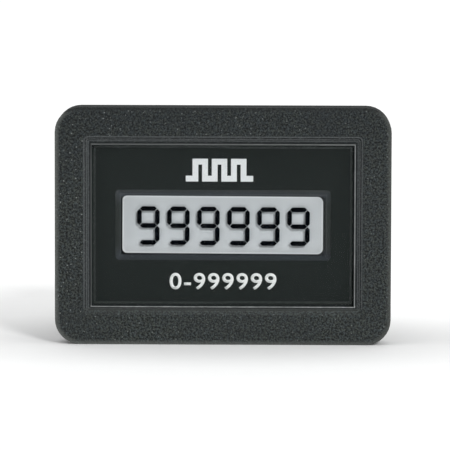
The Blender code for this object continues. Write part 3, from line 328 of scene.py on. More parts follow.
def leaning(look, turn):
    """The height of a point, as read on a frame that leans to the right by that many degrees."""
    return look.plus(look.z, look.times(look.x, math.tan(math.radians(turn))))


def outline_distance(look, half_width, half_height, radius, middle=(0.0, 0.0), power=2.0, turn=0.0):
    """As edge_distance, for a rectangle with round corners and its middle at that (x, z).

    A power above 2 makes the corners squarer, and a turn in degrees leans it to the right.
    """
    powers = []
    level = leaning(look, turn) if turn else look.z
    for value, centre, half in zip((look.x, level), middle, (half_width, half_height)):
        away = look.calc("ABSOLUTE", look.minus(value, centre))
        over = look.calc("MAXIMUM", look.minus(away, half - radius), 0.0)
        powers.append(look.calc("POWER", over, power))
    reach = look.calc("POWER", look.plus(*powers), 1 / power)
    return look.minus(reach, radius)


def bezel_look():
    """Black grained plastic, with pale dots painted as glints, painted light and shade over the
    face and on its rounded outer edge, and moulded lines round the lens, partly painted highlights.
    """
    look = Look("black_moulding_grained", Specular_IOR_Level=0.2)
    low, high = box_mm("bezel_housing")
    pebbles = look.cells(0.42, "SMOOTH_F1")
    grain = look.noise(0.30, 2.0, 0.6)
    fine = look.noise(0.16, 2.0, 0.5)
    broad = look.noise(9.0, 2.0, 0.5)
    pits = look.fade(pebbles, 0.05, 0.62)
    height = look.plus(look.times(pits, 0.55), look.times(grain, 0.9))
    height = look.plus(height, look.times(fine, 0.30))

    middle = (0.0, RING_RISE)
    beyond = outline_distance(look, *POCKET_HALF, RING_CORNER_RADIUS, middle, RING_CORNER_POWER)
    in_ring = look.calc("LESS_THAN", beyond, RECESS_SLOPE + 0.05)
    in_front = look.calc("LESS_THAN", look.y, -2.0)
    slope = look.times(in_ring, in_front)
    above = look.fade(look.z, -POCKET_HALF[1] - 0.15, -POCKET_HALF[1] + 0.15)
    ring = look.times(slope, above)

    mottle = look.plus(look.times(grain, 0.65), look.times(fine, 0.35))
    tone = look.fade(mottle, 0.425, 0.61)
    hue = look.fade(look.noise(0.45, 1.0, 0.5), 0.4, 0.6)
    light_grain = look.mix(hue, linear(64, 72, 73), linear(68, 74, 70))
    face = look.mix(tone, BLACK, light_grain)
    # Pale dots painted as glints, most towards the top left: spacing, radius, rarity, colour and
    # strength
    to_corner = look.fade(look.minus(look.z, look.x), -12.0, 34.0, 0.4, 0.85)
    for spacing, reach, rarity, colour, strength in (
        (0.42, 0.30, 0.55, linear(88, 93, 92), 0.8),
        (0.50, 0.24, 0.70, linear(104, 108, 107), 0.7),
        (0.80, 0.15, 0.62, linear(150, 155, 154), 0.9),
    ):
        chance = look.calc("GREATER_THAN", look.cells(spacing, output="Color"), rarity)
        dot = look.fade(look.cells(spacing), reach, reach * 0.5, 0.0, strength)
        dot = look.times(dot, to_corner)
        face = look.mix(look.times(dot, chance), face, colour)
    # Broad changes of tone over the face: random blots; painted shade, darker and bluer towards the
    # top and a little darker towards the left; painted light towards the bottom
    face = look.mix(look.fade(broad, 0.35, 0.65, 0.0, 0.25), face, linear(30, 33, 37))
    face = look.mix(look.fade(look.z, 4.0, high[2] - 2.0, 0.0, 0.28), face, linear(2, 8, 16))
    face = look.mix(look.fade(look.x, -8.0, -24.0, 0.0, 0.07), face, BLACK)
    face = look.mix(look.fade(look.z, -11.0, -15.0, 0.0, 0.06), face, linear(74, 78, 77))
    # Painted light on the slope: a little paler all over, and paler still on its inner part, which
    # shows at the bottom where the lines are left off
    face = look.mix(look.times(slope, 0.15), face, linear(62, 66, 65))
    foot = look.times(slope, look.fade(beyond, 0.68, 0.36, 0.0, 0.42))
    face = look.mix(foot, face, linear(92, 96, 94))

    # Painted highlight on the rounded outer edge, paler at the left than at the right, with painted
    # shade along its top
    outline = outline_distance(look, high[0], high[2], BEZEL_CORNER_RADIUS)
    on_rounding = look.calc("LESS_THAN", look.y, low[1] + BEZEL_ROUNDING_DEPTH)
    painted_rim_light = look.times(look.fade(outline, -0.78, -0.12, 0.0, 0.6), on_rounding)
    at_top = look.fade(look.z, high[2] - 1.4, high[2] - 0.5)
    rim = look.mix(look.fade(look.x, -high[0], high[0]), linear(98, 101, 98), linear(82, 84, 81))
    face = look.mix(painted_rim_light, face, look.mix(at_top, rim, linear(28, 30, 30)))
    # Painted shade: the side walls behind the front are painted darker, and made rougher below
    behind = look.calc("GREATER_THAN", look.y, low[1] + 0.5)
    side_wall = look.times(behind, look.calc("LESS_THAN", look.y, -1.1))
    face = look.mix(look.times(side_wall, 0.5), face, linear(12, 14, 14))

    # The moulded lines, partly painted highlights, from the pocket's edge (0) to the face (1)
    share = look.fade(beyond, 0.0, RECESS_SLOPE)
    wander = look.noise(1.4, 3.0, 0.6)
    share = look.plus(share, look.fade(wander, 0.2, 0.8, -0.03, 0.03))
    light, middle, dark = linear(88, 92, 93), linear(54, 58, 59), linear(12, 16, 17)
    lines = look.ramp(
        share,
        [
            (0.02, linear(36, 40, 41)),
            (0.15, middle),
            (0.25, light),
            (0.38, dark),
            (0.52, light),
            (0.63, dark),
            (0.73, dark),
            (0.86, light),
            (0.98, middle),
        ],
    )
    lines = look.mix(look.fade(fine, 0.62, 0.38, 0.0, 0.55), lines, linear(22, 26, 27))
    lines = look.mix(look.fade(grain, 0.52, 0.72, 0.0, 0.6), lines, linear(88, 92, 92))
    look.set("Base Color", look.mix(ring, face, lines))
    calm = look.minus(1.0, look.times(ring, 0.8))
    look.bump(look.times(height, calm), 0.093)
    rough = look.fade(grain, 0.3, 0.7, 0.5, 0.7)
    look.set("Roughness", look.plus(rough, look.times(side_wall, 0.3)))
    return look


def cover_look():
    """The rear cover's plastic, finer and a little paler than the bezel's."""
    look = Look("black_moulding_fine", Roughness=0.5, Specular_IOR_Level=0.3)
    grain = look.noise(0.16, 3.0, 0.6)
    tone = look.fade(grain, 0.35, 0.65)
    look.set("Base Color", look.mix(tone, linear(36, 38, 38), linear(54, 56, 56)))
    look.bump(grain, 0.02)
    return look


def rubber_look():
    """Dull rubber with dust on it."""
    look = Look("gasket_rubber_dull", Specular_IOR_Level=0.3)
    dust = look.noise(0.9, 4.0, 0.65)
    fine = look.noise(0.08, 2.0, 0.5)
    tone = look.fade(dust, 0.4, 0.75)
    look.set("Base Color", look.mix(tone, linear(26, 26, 26), linear(58, 57, 55)))
    look.set("Roughness", look.fade(dust, 0.3, 0.7, 0.75, 0.95))
    look.bump(fine, 0.012)
    return look


# Lens, dial and display


def clear_look(name, gloss, ior):
    """Clear plastic or glass: straight light goes through, and a faint reflection lies on it."""
    look = Look(name)
    look.tree.nodes.remove(look.shader)
    through = look.node("ShaderNodeBsdfTransparent")
    look.feed(through, "Color", CLEAR_TINT)
    shine = look.node("ShaderNodeBsdfGlossy")
    look.feed(shine, "Color", WHITE)
    smear = look.noise(6.0, 3.0, 0.6)
    look.feed(shine, "Roughness", look.fade(smear, 0.3, 0.7, gloss * 0.7, gloss * 1.3))
    fresnel = look.node("ShaderNodeFresnel")
    look.feed(fresnel, "IOR", ior)
    both = look.node("ShaderNodeMixShader")
    look.feed(both, 0, fresnel.outputs[0])
    look.feed(both, 1, through.outputs[0])
    look.feed(both, 2, shine.outputs[0])
    look.feed(look.output, "Surface", both.outputs[0])
    return look


def lens_edge_look():
    """The cut edge of the lens, painted pale for the light it gathers: a painted highlight most on
    its right and lower sides, weaker at the top right, and a little darker along the top.
    """
    look = Look("lens_cut_edge", Roughness=0.35, Specular_IOR_Level=0.4)
    low, high = box_mm("lens")
    # How far in from an edge its painted highlight starts, and where it is full
    start, full = 0.3, 0.25
    right = look.fade(look.x, high[0] - start, high[0] - full)
    right = look.times(right, look.fade(look.x, high[0] - 0.01, high[0] - 0.08, 0.2, 1.0))
    bottom = look.fade(look.z, low[2] + start, low[2] + full)
    top_right = look.fade(look.z, high[2] - start, high[2] - full)
    top_right = look.times(top_right, look.fade(look.x, -16.0, 12.0, 0.3, 1.0))
    uneven = look.fade(look.noise(2.6, 3.0, 0.7), 0.35, 0.62, 0.45, 1.0)
    lit = look.calc("MAXIMUM", look.calc("MAXIMUM", right, bottom), look.times(top_right, 0.5))
    beads = look.fade(look.noise(0.5, 2.0, 0.6), 0.35, 0.65, 0.65, 1.15)
    tone = look.times(lit, look.times(uneven, beads))
    bright = look.mix(bottom, linear(146, 150, 150), linear(200, 204, 204))
    plain = look.mix(look.fade(look.z, 10.0, 12.0), linear(106, 110, 110), linear(96, 100, 100))
    look.set("Base Color", look.mix(tone, plain, bright))
    look.bump(look.noise(0.3, 2.0, 0.5), 0.01)
    return look


def make_lens():
    """The lens, with its cut sides and chamfered front edge in a finish of their own."""
    low, high = box_mm("lens")
    work = bmesh.new()
    rings = []
    for inset, y in ((LENS_CHAMFER, low[1]), (0.0, low[1] + LENS_CHAMFER), (0.0, high[1])):
        corners = (
            (high[0] - inset, high[2] - inset),
            (low[0] + inset, high[2] - inset),
            (low[0] + inset, low[2] + inset),
            (high[0] - inset, low[2] + inset),
        )
        rings.append([work.verts.new((x * MM, y * MM, z * MM)) for x, z in corners])
    work.faces.new(rings[0])
    work.faces.new(rings[2][::-1])
    for near, far in zip(rings, rings[1:]):
        for index in range(4):
            after = (index + 1) % 4
            face = work.faces.new((near[index], far[index], far[after], near[after]))
            face.material_index = 1
    looks = (clear_look("clear_acrylic_front", gloss=0.12, ior=1.07), lens_edge_look())
    lens = finish_piece("lens_clear", mesh_of(work, "lens_clear"), looks)
    lens.visible_shadow = False
    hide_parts("lens")


def dial_look():
    """The matt black dial, with painted light on the slope of its window, a painted highlight line
    and painted shade at the window's edge, painted shade on the window's inner wall, and a pale
    line painted for the lens's edge seen on it.
    """
    look = Look("dial_black_screened", Roughness=0.6, Specular_IOR_Level=0.06)
    low, high = box_mm("dial_plate")
    across = look.minus(look.calc("ABSOLUTE", look.x), WINDOW_HALF[0])
    above = look.plus(leaning(look, WINDOW_TURN), WINDOW_DROP + WINDOW_SETTLE)
    up = look.minus(look.calc("ABSOLUTE", above), WINDOW_HALF[1])
    across = look.calc("DIVIDE", across, WINDOW_BEVEL[0])
    up = look.calc("DIVIDE", up, WINDOW_BEVEL[1])
    share = look.calc("MAXIMUM", across, up)
    fine = look.noise(0.10, 2.0, 0.5)
    flat = look.mix(look.fade(fine, 0.3, 0.7), linear(28, 33, 32), linear(32, 37, 36))
    # Painted light on the window's slope: paler on the right side and at the inner edge, paler and
    # bluer at the top than at the bottom
    upper = look.fade(look.z, 3.0, 5.0)
    lower = look.fade(look.z, -3.0, -5.0)
    cool = look.calc("MAXIMUM", upper, lower)
    to_right = look.fade(look.x, -1.0, 1.0)
    outwards = look.fade(share, 0.1, 1.0)
    inner_side = look.mix(to_right, linear(50, 54, 53), linear(64, 68, 67))
    outer_side = look.mix(to_right, linear(43, 47, 46), linear(50, 54, 53))
    inner_end = look.mix(lower, linear(66, 70, 76), linear(54, 59, 64))
    outer_end = look.mix(lower, linear(64, 68, 69), linear(48, 52, 54))
    side_band = look.mix(outwards, inner_side, outer_side)
    band = look.mix(cool, side_band, look.mix(outwards, inner_end, outer_end))

    # A painted highlight line on the slope, except at its foot, and painted shade as a dark lip at
    # the window's edge
    at_left = look.fade(look.x, -WINDOW_HALF[0] + 0.1, -WINDOW_HALF[0])
    from_line = look.plus(share, look.times(at_left, 0.08))
    line = look.times(look.fade(from_line, 0.24, 0.30), look.fade(from_line, 0.42, 0.36))
    line = look.times(line, look.fade(look.z, -4.4, -4.2))
    side_line = look.mix(to_right, linear(68, 72, 71), linear(73, 77, 76))
    band = look.mix(line, band, look.mix(upper, side_line, linear(86, 90, 96)))
    from_lip = look.plus(share, look.times(at_left, 0.06))
    lip = look.times(look.fade(from_lip, 0.26, 0.14), look.fade(look.z, 4.4, 4.0))
    lip = look.times(lip, look.fade(look.x, WINDOW_HALF[0] - 0.2, WINDOW_HALF[0], 1.0, 0.35))
    at_foot = look.times(lower, look.fade(look.x, -13.0, -9.0, 0.0, 0.5))
    lip = look.times(lip, look.minus(1.0, at_foot))
    band = look.mix(lip, band, linear(14, 16, 19))

    # The slope's painted light ends a little early at the right, and reaches a little on at the top
    less_right, more_top = 0.03, 0.025
    half_width = WINDOW_HALF[0] + WINDOW_BEVEL[0] - less_right
    half_height = WINDOW_HALF[1] + WINDOW_BEVEL[1] + more_top
    middle = (-less_right, more_top - WINDOW_DROP)
    beyond = outline_distance(look, half_width, half_height, WINDOW_BEVEL_RADIUS, middle)
    on_slope = look.calc("LESS_THAN", beyond, 0.0)
    # Painted shade: the window's inner wall, behind the slope, is painted near black
    deep = look.calc("GREATER_THAN", look.y, low[1] + WINDOW_BEVEL_DEPTH)

    # Painted light: a pale line for the lens's edge seen on the dial, a little further in at the
    # right and paler at the top against the recess's shade
    inset = edge_distance(look, (high[0] - low[0]) / 2, (high[2] - low[2]) / 2)
    inset = look.plus(inset, look.fade(look.x, 0.0, 1.0, 0.0, 0.09))
    painted_lens_edge_line = look.times(look.fade(inset, -0.82, -0.68), look.fade(inset, -0.36, -0.48))
    uneven = look.fade(look.noise(0.4, 2.0, 0.5), 0.4, 0.6, 0.6, 1.0)
    painted_lens_edge_tone = look.mix(look.fade(look.z, 11.0, 11.6), linear(58, 62, 61), linear(71, 75, 75))
    flat = look.mix(look.times(painted_lens_edge_line, uneven), flat, painted_lens_edge_tone)
    surface = look.mix(on_slope, flat, band)
    look.set("Base Color", look.mix(deep, surface, linear(8, 10, 14)))
    look.bump(fine, 0.004)
    return look


def turned(x, z, degrees):
    """A point turned round the Y axis, so that its right side comes down."""
    angle = math.radians(degrees)
    return x * math.cos(angle) + z * math.sin(angle), z * math.cos(angle) - x * math.sin(angle)


def make_dial():
    """The dial plate, with the inner edge of its window a little askew, as in the photo."""
    plate = NODES["dial_plate"].data.copy()
    plate.materials.clear()
    for vertex in plate.vertices:
        x = vertex.co.x / MM
        z = vertex.co.z / MM + WINDOW_DROP
        if abs(x) > WINDOW_HALF[0] + WINDOW_SLACK or abs(z) > WINDOW_HALF[1] + WINDOW_SLACK:
            continue
        inward = WINDOW_LEFT_IN if x < 0 else 0.0
        x, z = turned(x, z, WINDOW_TURN)
        vertex.co.x = (x + inward) * MM
        vertex.co.z = (z - WINDOW_DROP - WINDOW_SETTLE) * MM
    dial = finish_piece("dial_face", plate, (dial_look(),))
    dial.visible_shadow = False
    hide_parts("dial_plate")


def print_look(name, dark, pale):
    """Screened ink, a little uneven."""
    look = Look(name, Roughness=0.5, Specular_IOR_Level=0.2)
    ink = look.noise(0.25, 3.0, 0.6)
    look.set("Base Color", look.mix(look.fade(ink, 0.3, 0.7), dark, pale))
    look.bump(ink, 0.004)
    return look


def segment_outlines():
    """The lit bars of a row of nines that sits low and a little askew, as (x, z) points in mm."""
    half = SEGMENT_WIDTH / 2
    across = DIGIT_SIZE[0] / 2 - half
    up = DIGIT_SIZE[1] / 2 - half
    reach_across = across - SEGMENT_SPACING
    reach_up = up / 2 - SEGMENT_SPACING
    bars = (
        ((0.0, up), reach_across, False),
        ((across, up / 2), reach_up, True),
        ((across, -up / 2), reach_up, True),
        ((0.0, -up), reach_across, False),
        ((-across, up / 2), reach_up, True),
        ((0.0, 0.0), reach_across, False),
    )
    outlines = []
    for digit in range(DIGITS):
        middle = (digit - (DIGITS - 1) / 2) * DIGIT_PITCH
        for (bar_x, bar_z), reach, upright in bars:
            flat = reach - half
            ends = [(reach, 0.0), (flat, half), (-flat, half)]
            ends += [(-x, -z) for x, z in ends]
            if upright:
                ends = [(-z, x) for x, z in ends]
            points = [turned(middle + bar_x + x, bar_z + z, DIGIT_TURN) for x, z in ends]
            outlines.append([(x, z - DIGIT_DROP) for x, z in points])
    return outlines


def reflector_look():
    """The silver-grey ground of the display, with painted light and shade that even out its tone, a
    pale rim painted as a highlight and a dark border round what shows.
    """
    look = Look("reflector_silver", Roughness=0.5, Specular_IOR_Level=0.3)
    sheen = look.noise(0.35, 3.0, 0.6)
    shown = outline_distance(look, *SHOWN_HALF, SHOWN_RADIUS, SHOWN_MIDDLE, turn=WINDOW_TURN)
    half_border = (SHOWN_HALF[0] + SHOWN_MORE_AT_LEFT, SHOWN_HALF[1])
    middle = (SHOWN_MIDDLE[0] - SHOWN_MORE_AT_LEFT, SHOWN_MIDDLE[1])
    border = outline_distance(look, *half_border, SHOWN_RADIUS, middle, turn=WINDOW_TURN)

    dim, bright = linear(140, 144, 147), linear(228, 232, 235)
    tone = look.mix(look.fade(sheen, 0.3, 0.7), linear(202, 207, 210), linear(206, 211, 214))
    # Painted light and shade that even out the tone: paler near the edges of what shows, towards
    # the bottom and towards the right; darker over the upper part, and in the middle columns low
    # and high
    tone = look.mix(look.fade(shown, -1.6, -0.3), tone, linear(216, 221, 224))
    tone = look.mix(look.fade(look.z, -4.2, -1.4, 0.0, 0.235), tone, dim)
    inner = look.fade(look.calc("ABSOLUTE", look.x), 13.5, 10.5, 0.0, 0.085)
    high_or_low = look.calc("MAXIMUM", look.fade(look.z, -0.4, -1.2), look.fade(look.z, 2.8, 3.6))
    tone = look.mix(look.times(inner, high_or_low), tone, dim)
    tone = look.mix(look.fade(look.z, -2.4, -3.8, 0.0, 0.3), tone, bright)
    tone = look.mix(look.fade(look.x, 9.0, 15.0, 0.0, 0.25), tone, bright)
    # Painted highlight: a pale rim just inside what shows, palest at the bottom and less bright at
    # the top
    rim = look.mix(look.fade(look.z, -3.4, -4.2), linear(229, 233, 235), linear(243, 247, 249))
    rim = look.mix(look.fade(look.z, 3.0, 3.8), rim, linear(217, 221, 223))
    tone = look.mix(look.fade(shown, -0.30, -0.14), tone, rim)
    look.set("Base Color", look.mix(look.fade(border, -0.02, 0.02), tone, linear(30, 33, 36)))
    look.bump(sheen, 0.004)
    return look


def make_display():
    """The clear glass, the lit segments inside it and the reflector behind them."""
    low, high = box_mm("front_polarizer")
    back = box_mm("rear_glass")[1][1]
    work = bmesh.new()
    corners = [(high[0], high[2]), (low[0], high[2]), (low[0], low[2]), (high[0], low[2])]
    add_prism(work, corners, low[1], back)
    looks = (clear_look("display_glass_clear", gloss=0.2, ior=1.03),)
    glass = finish_piece("display_glass", mesh_of(work, "display_glass"), looks)
    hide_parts("front_polarizer", "front_glass", "rear_glass")

    lit = Look("lit_segment", Roughness=0.6, Specular_IOR_Level=0.01)
    fine = lit.noise(0.3, 2.0, 0.5)
    lit.set("Base Color", lit.mix(lit.fade(fine, 0.3, 0.7), linear(2, 4, 8), linear(5, 8, 12)))
    front = box_mm("rear_polarizer")[0][1] - SEGMENT_GAP
    work = bmesh.new()
    for outline in segment_outlines():
        add_prism(work, outline, front, front + SEGMENT_RELIEF)
    finish_piece("display_segments", mesh_of(work, "display_segments"), (lit,))
    reflector_look().dress("rear_polarizer")


# Marks printed on the dial


def stroke_outline(path, width):
    """The outline of a stroke of even width along a path that turns by right angles."""
    sides = ([], [])
    for index, (x, z) in enumerate(path):
        before = path[max(index - 1, 0)]
        after = path[min(index + 1, len(path) - 1)]
        arriving = (x - before[0], z - before[1])
        leaving = (after[0] - x, after[1] - z)
        normals = []
        for dx, dz in (arriving, leaving):
            length = math.hypot(dx, dz)
            if length:
                normals.append((-dz / length, dx / length))
        offset_x, offset_z = normals[0]
        if len(normals) == 2 and normals[0] != normals[1]:
            offset_x += normals[1][0]
            offset_z += normals[1][1]
        for side, sign in zip(sides, (1, -1)):
            side.append((x + sign * offset_x * width / 2, z + sign * offset_z * width / 2))
    return sides[0] + sides[1][::-1]


def make_pulse_mark(front):
    """A plain train of square pulses above the window."""
    left, right = PULSE_SIDES
    low, high = PULSE_LEVELS
    path = [(left, low)]
    level = low
    for index in range(1, PULSE_STEPS):
        x = left + index * (right - left) / PULSE_STEPS
        path.append((x, level))
        level = high if level == low else low
        path.append((x, level))
    path.append((right, level))
    work = bmesh.new()
    add_prism(work, stroke_outline(path, PULSE_STROKE), front - PRINT_THICKNESS, front)
    ink = print_look("pale_print", linear(206, 210, 211), linear(218, 222, 223))
    finish_piece("print_pulses", mesh_of(work, "print_pulses"), (ink,))


def text_mesh(name, words, size, thickness, boldness, spacing=1.0):
    """Plain words as a mesh in the XZ plane, centred and brought to that width and height in mm."""
    curve = bpy.data.curves.new(name, "FONT")
    curve.body = words
    curve.align_x = "CENTER"
    curve.align_y = "CENTER"
    curve.size = 1.0
    curve.offset = boldness
    curve.space_character = spacing
    curve.resolution_u = 6
    carrier = bpy.data.objects.new(name, curve)
    bpy.context.scene.collection.objects.link(carrier)
    graph = bpy.context.evaluated_depsgraph_get()
    mesh = bpy.data.meshes.new_from_object(carrier.evaluated_get(graph))
    bpy.data.objects.remove(carrier)
    bpy.data.curves.remove(curve)
    tops = [vertex.co.y for vertex in mesh.vertices]
    sides = [vertex.co.x for vertex in mesh.vertices]
    width, height = size
    across = width * MM / (max(sides) - min(sides))
    up = height * MM / (max(tops) - min(tops))
    middle = Vector(((max(sides) + min(sides)) / 2, (max(tops) + min(tops)) / 2, 0.0))
    stand = Matrix.Rotation(math.pi / 2, 4, "X")
    grow = Matrix.Diagonal((across, up, 1.0, 1.0))
    mesh.transform(stand @ grow @ Matrix.Translation(-middle))
    work = bmesh.new()
    work.from_mesh(mesh)
    bmesh.ops.remove_doubles(work, verts=work.verts, dist=1e-7)
    grown = bmesh.ops.extrude_face_region(work, geom=work.faces[:])
    moved = [part for part in grown["geom"] if isinstance(part, bmesh.types.BMVert)]
    bmesh.ops.translate(work, verts=moved, vec=(0.0, -thickness * MM, 0.0))
    bmesh.ops.recalc_face_normals(work, faces=work.faces)
    work.to_mesh(mesh)
    work.free()
    return mesh


def make_print():
    """The marks on the dial: the pulses above the window and the numbers below it."""
    front = box_mm("dial_plate")[0][1]
    make_pulse_mark(front)
    ink = print_look("white_print", linear(222, 225, 224), linear(238, 240, 239))
    mesh = text_mesh(
        "print_numbers", NUMBERS_TEXT, NUMBERS_SIZE, PRINT_THICKNESS, boldness=0.015, spacing=1.12
    )
    mesh.transform(Matrix.Translation((0.0, front * MM, NUMBERS_LEVEL * MM)))
    finish_piece("print_numbers", mesh, (ink,))


# Fixings and terminals


def steel_look(name, colour, roughness, grain_size):
    """Bare or plated metal with fine grain and soft clouds."""
    look = Look(name, Metallic=1.0)
    grain = look.noise(grain_size, 3.0, 0.6)
    cloud = look.noise(3.5, 3.0, 0.6)
    tone = look.fade(cloud, 0.3, 0.7)
    look.set("Base Color", look.mix(tone, scaled(colour, 0.82), colour))
    look.set("Roughness", look.fade(grain, 0.3, 0.7, roughness * 0.8, roughness * 1.25))
    look.bump(grain, 0.004)
    return look


def zinc_look():
    """Zinc-plated sheet, with faint rolling lines along the strip and dull blots."""
    look = Look("zinc_plate_rolled", Metallic=1.0)
    lines = look.noise(0.15, 2.0, 0.5, look.stretched((0.06, 0.06, 1.0)))
    cloud = look.noise(4.0, 4.0, 0.6)
    tone = look.fade(look.plus(look.times(lines, 0.5), look.times(cloud, 0.5)), 0.35, 0.65)
    look.set("Base Color", look.mix(tone, linear(176, 178, 178), linear(208, 209, 206)))
    look.set("Roughness", look.fade(cloud, 0.3, 0.7, 0.28, 0.45))
    look.bump(lines, 0.006)
    return look


def make_thread(name, node, look, root_look):
    """A stud with its helical thread, from the turned end inside to the chamfered tip, with painted
    shade in the thread's roots.
    """
    low, high = box_mm(node)
    middle_x = (low[0] + high[0]) / 2
    middle_z = (low[2] + high[2]) / 2
    length = high[1] - low[1]
    count = int(length / THREAD_PITCH * THREAD_RINGS_PER_TURN)
    work = bmesh.new()
    rings = []
    for index in range(count + 1):
        along = length * index / count
        end = min(along, length - along)
        ring = []
        for step in range(THREAD_SIDES):
            angle = 2 * math.pi * step / THREAD_SIDES
            phase = (along / THREAD_PITCH - step / THREAD_SIDES) % 1.0
            from_crest = abs(2 * phase - 1)
            fall = (from_crest - THREAD_FLAT) / (1 - 2 * THREAD_FLAT)
            depth = THREAD_DEPTH * min(max(fall, 0.0), 1.0)
            reach = min(STUD_RADIUS - depth, STUD_RADIUS - THREAD_CHAMFER + end)
            x = middle_x + reach * math.cos(angle)
            z = middle_z + reach * math.sin(angle)
            ring.append(work.verts.new((x * MM, (low[1] + along) * MM, z * MM)))
        rings.append(ring)
    for index, (near, far) in enumerate(zip(rings, rings[1:])):
        for step in range(THREAD_SIDES):
            after = (step + 1) % THREAD_SIDES
            face = work.faces.new((near[step], far[step], far[after], near[after]))
            # Faces in the thread's roots take the second, darker finish: painted shade
            middle = (index + 0.5) / THREAD_RINGS_PER_TURN - (step + 0.5) / THREAD_SIDES
            if abs(2 * (middle % 1.0) - 1) > THREAD_ROOT_FROM:
                face.material_index = 1
    work.faces.new(rings[0])
    work.faces.new(rings[-1][::-1])
    stud = finish_piece(name, mesh_of(work, name), (look, root_look), smooth=50)
    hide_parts(node)


def make_terminal_numbers(look):
    """Raised numbers on the terminal block, beside the blades."""
    back = box_mm("rear_cover")[1][1]
    beside, level = TERMINAL_NUMBER_PLACE
    for number, width in enumerate(TERMINAL_NUMBER_WIDTHS, 1):
        low, high = box_mm(f"terminal_{number}")
        name = f"terminal_number_{number}"
        size = (width, TERMINAL_NUMBER_HEIGHT)
        mesh = text_mesh(name, str(number), size, TERMINAL_NUMBER_RELIEF, boldness=0.01)
        mesh.transform(Matrix.Rotation(math.pi, 4, "Z"))
        place = ((low[0] + high[0]) / 2 + beside, back, level)
        mesh.transform(Matrix.Translation([value * MM for value in place]))
        finish_piece(name, mesh, (look,))


# Boards and small parts inside


def board_look():
    """Green solder mask, with the copper runs under it a little paler."""
    look = Look("board_green_masked", Roughness=0.35, Specular_IOR_Level=0.5)
    runs = look.node("ShaderNodeTexBrick")
    look.feed(runs, "Vector", look.point)
    look.feed(runs, "Scale", 0.5)
    look.feed(runs, "Mortar Size", 0.03)
    look.feed(runs, "Color1", linear(18, 84, 46))
    look.feed(runs, "Color2", linear(22, 92, 52))
    look.feed(runs, "Mortar", linear(46, 122, 66))
    look.set("Base Color", runs.outputs["Color"])
    look.bump(look.noise(0.4, 2.0, 0.5), 0.01)
    return look


def plain_look(name, dark, pale, size, roughness, depth=0.006):
    """A finish whose tone wanders between two colours."""
    look = Look(name, Roughness=roughness)
    grain = look.noise(size, 3.0, 0.6)
    look.set("Base Color", look.mix(look.fade(grain, 0.3, 0.7), dark, pale))
    look.bump(grain, depth)
    return look


def zebra_look():
    """The striped rubber that joins the display to its board."""
    look = Look("zebra_rubber_striped", Roughness=0.7)
    wave = look.node("ShaderNodeTexWave", wave_type="BANDS", bands_direction="X")
    look.feed(wave, "Vector", look.point)
    look.feed(wave, "Scale", 2.0)
    look.set("Base Color", look.mix(wave.outputs["Fac"], linear(168, 84, 74), linear(30, 26, 26)))
    return look


def resistor_look():
    """Beige lacquer with colour bands across the body."""
    look = Look("resistor_banded", Roughness=0.35)
    tone = linear(206, 176, 132)
    colours = (linear(120, 60, 24), linear(20, 20, 20), linear(200, 60, 30), linear(190, 150, 50))
    for name in RESISTORS:
        low, high = box_mm(name)
        middle_x = (low[0] + high[0]) / 2
        middle_z = (low[2] + high[2]) / 2
        along = look.calc("COMPARE", look.x, middle_x, RESISTOR_HALF_LENGTH)
        up = look.calc("COMPARE", look.z, middle_z, RESISTOR_HALF_HEIGHT)
        here = look.times(along, up)
        for place, colour in zip(RESISTOR_BANDS, colours):
            band = look.calc("COMPARE", look.x, middle_x + place, RESISTOR_BAND_HALF_WIDTH)
            tone = look.mix(look.times(here, band), tone, colour)
    look.set("Base Color", tone)
    look.bump(look.noise(0.3, 2.0, 0.5), 0.008)
    return look


def dress_inside():
    """The finishes of the parts that the housing hides."""
    board_look().dress("display_board", "input_board")
    dark, pale = linear(22, 22, 23), linear(34, 34, 35)
    epoxy = plain_look("black_epoxy_matt", dark, pale, size=0.25, roughness=0.45)
    epoxy.dress("controller_chip", "optocoupler_1", "optocoupler_2", "rectifier", "pin_header")
    bright = linear(206, 208, 210)
    steel = steel_look("bright_steel_rolled", bright, roughness=0.25, grain_size=0.2)
    steel.dress("crystal", "battery_cell", "battery_tab_negative", "battery_tab_positive")
    zebra_look().dress("zebra_strip_top", "zebra_strip_bottom")
    dark, pale = linear(214, 214, 208), linear(226, 226, 221)
    white = plain_look("white_moulding_satin", dark, pale, size=0.3, roughness=0.5)
    white.dress("lcd_frame")
    resistor_look().dress(*RESISTORS)
    dark, pale = linear(30, 44, 92), linear(38, 54, 106)
    sleeve = plain_look("capacitor_sleeve_blue", dark, pale, size=1.2, roughness=0.35)
    sleeve.dress("capacitor")
    dark, pale = linear(32, 84, 150), linear(44, 100, 168)
    coating = plain_look("varistor_coating", dark, pale, size=0.6, roughness=0.4, depth=0.03)
    coating.dress("varistor")


# Studio and camera


def make_floor():
    """Pale paper under the counter, with a painted shadow that makes it a little darker close to
    the counter.
    """
    floor_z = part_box("bezel_housing")[0].z
    half = FLOOR_HALF * MM
    mesh = bpy.data.meshes.new("studio_floor")
    corners = [(-half, -half), (half, -half), (half, half), (-half, half)]
    mesh.from_pydata([(x, y, floor_z) for x, y in corners], [], [(0, 1, 2, 3)])
    look = Look("studio_floor_paper", Roughness=0.9, Specular_IOR_Level=0.1)
    fibre = look.noise(3.0, 2.0, 0.5)
    paper = look.mix(fibre, (0.84, 0.845, 0.845, 1.0), (0.86, 0.865, 0.865, 1.0))
    across = look.times(look.x, 0.5)
    away = look.calc("SQRT", look.plus(look.times(across, across), look.times(look.y, look.y)))
    # Painted shadow: the paper darkens a little close to the counter
    look.set("Base Color", look.mix(look.fade(away, 14.0, 34.0, 0.12, 0.0), paper, BLACK))
    mesh.materials.append(look.material)
    floor = bpy.data.objects.new("studio_floor", mesh)
    bpy.context.scene.collection.objects.link(floor)


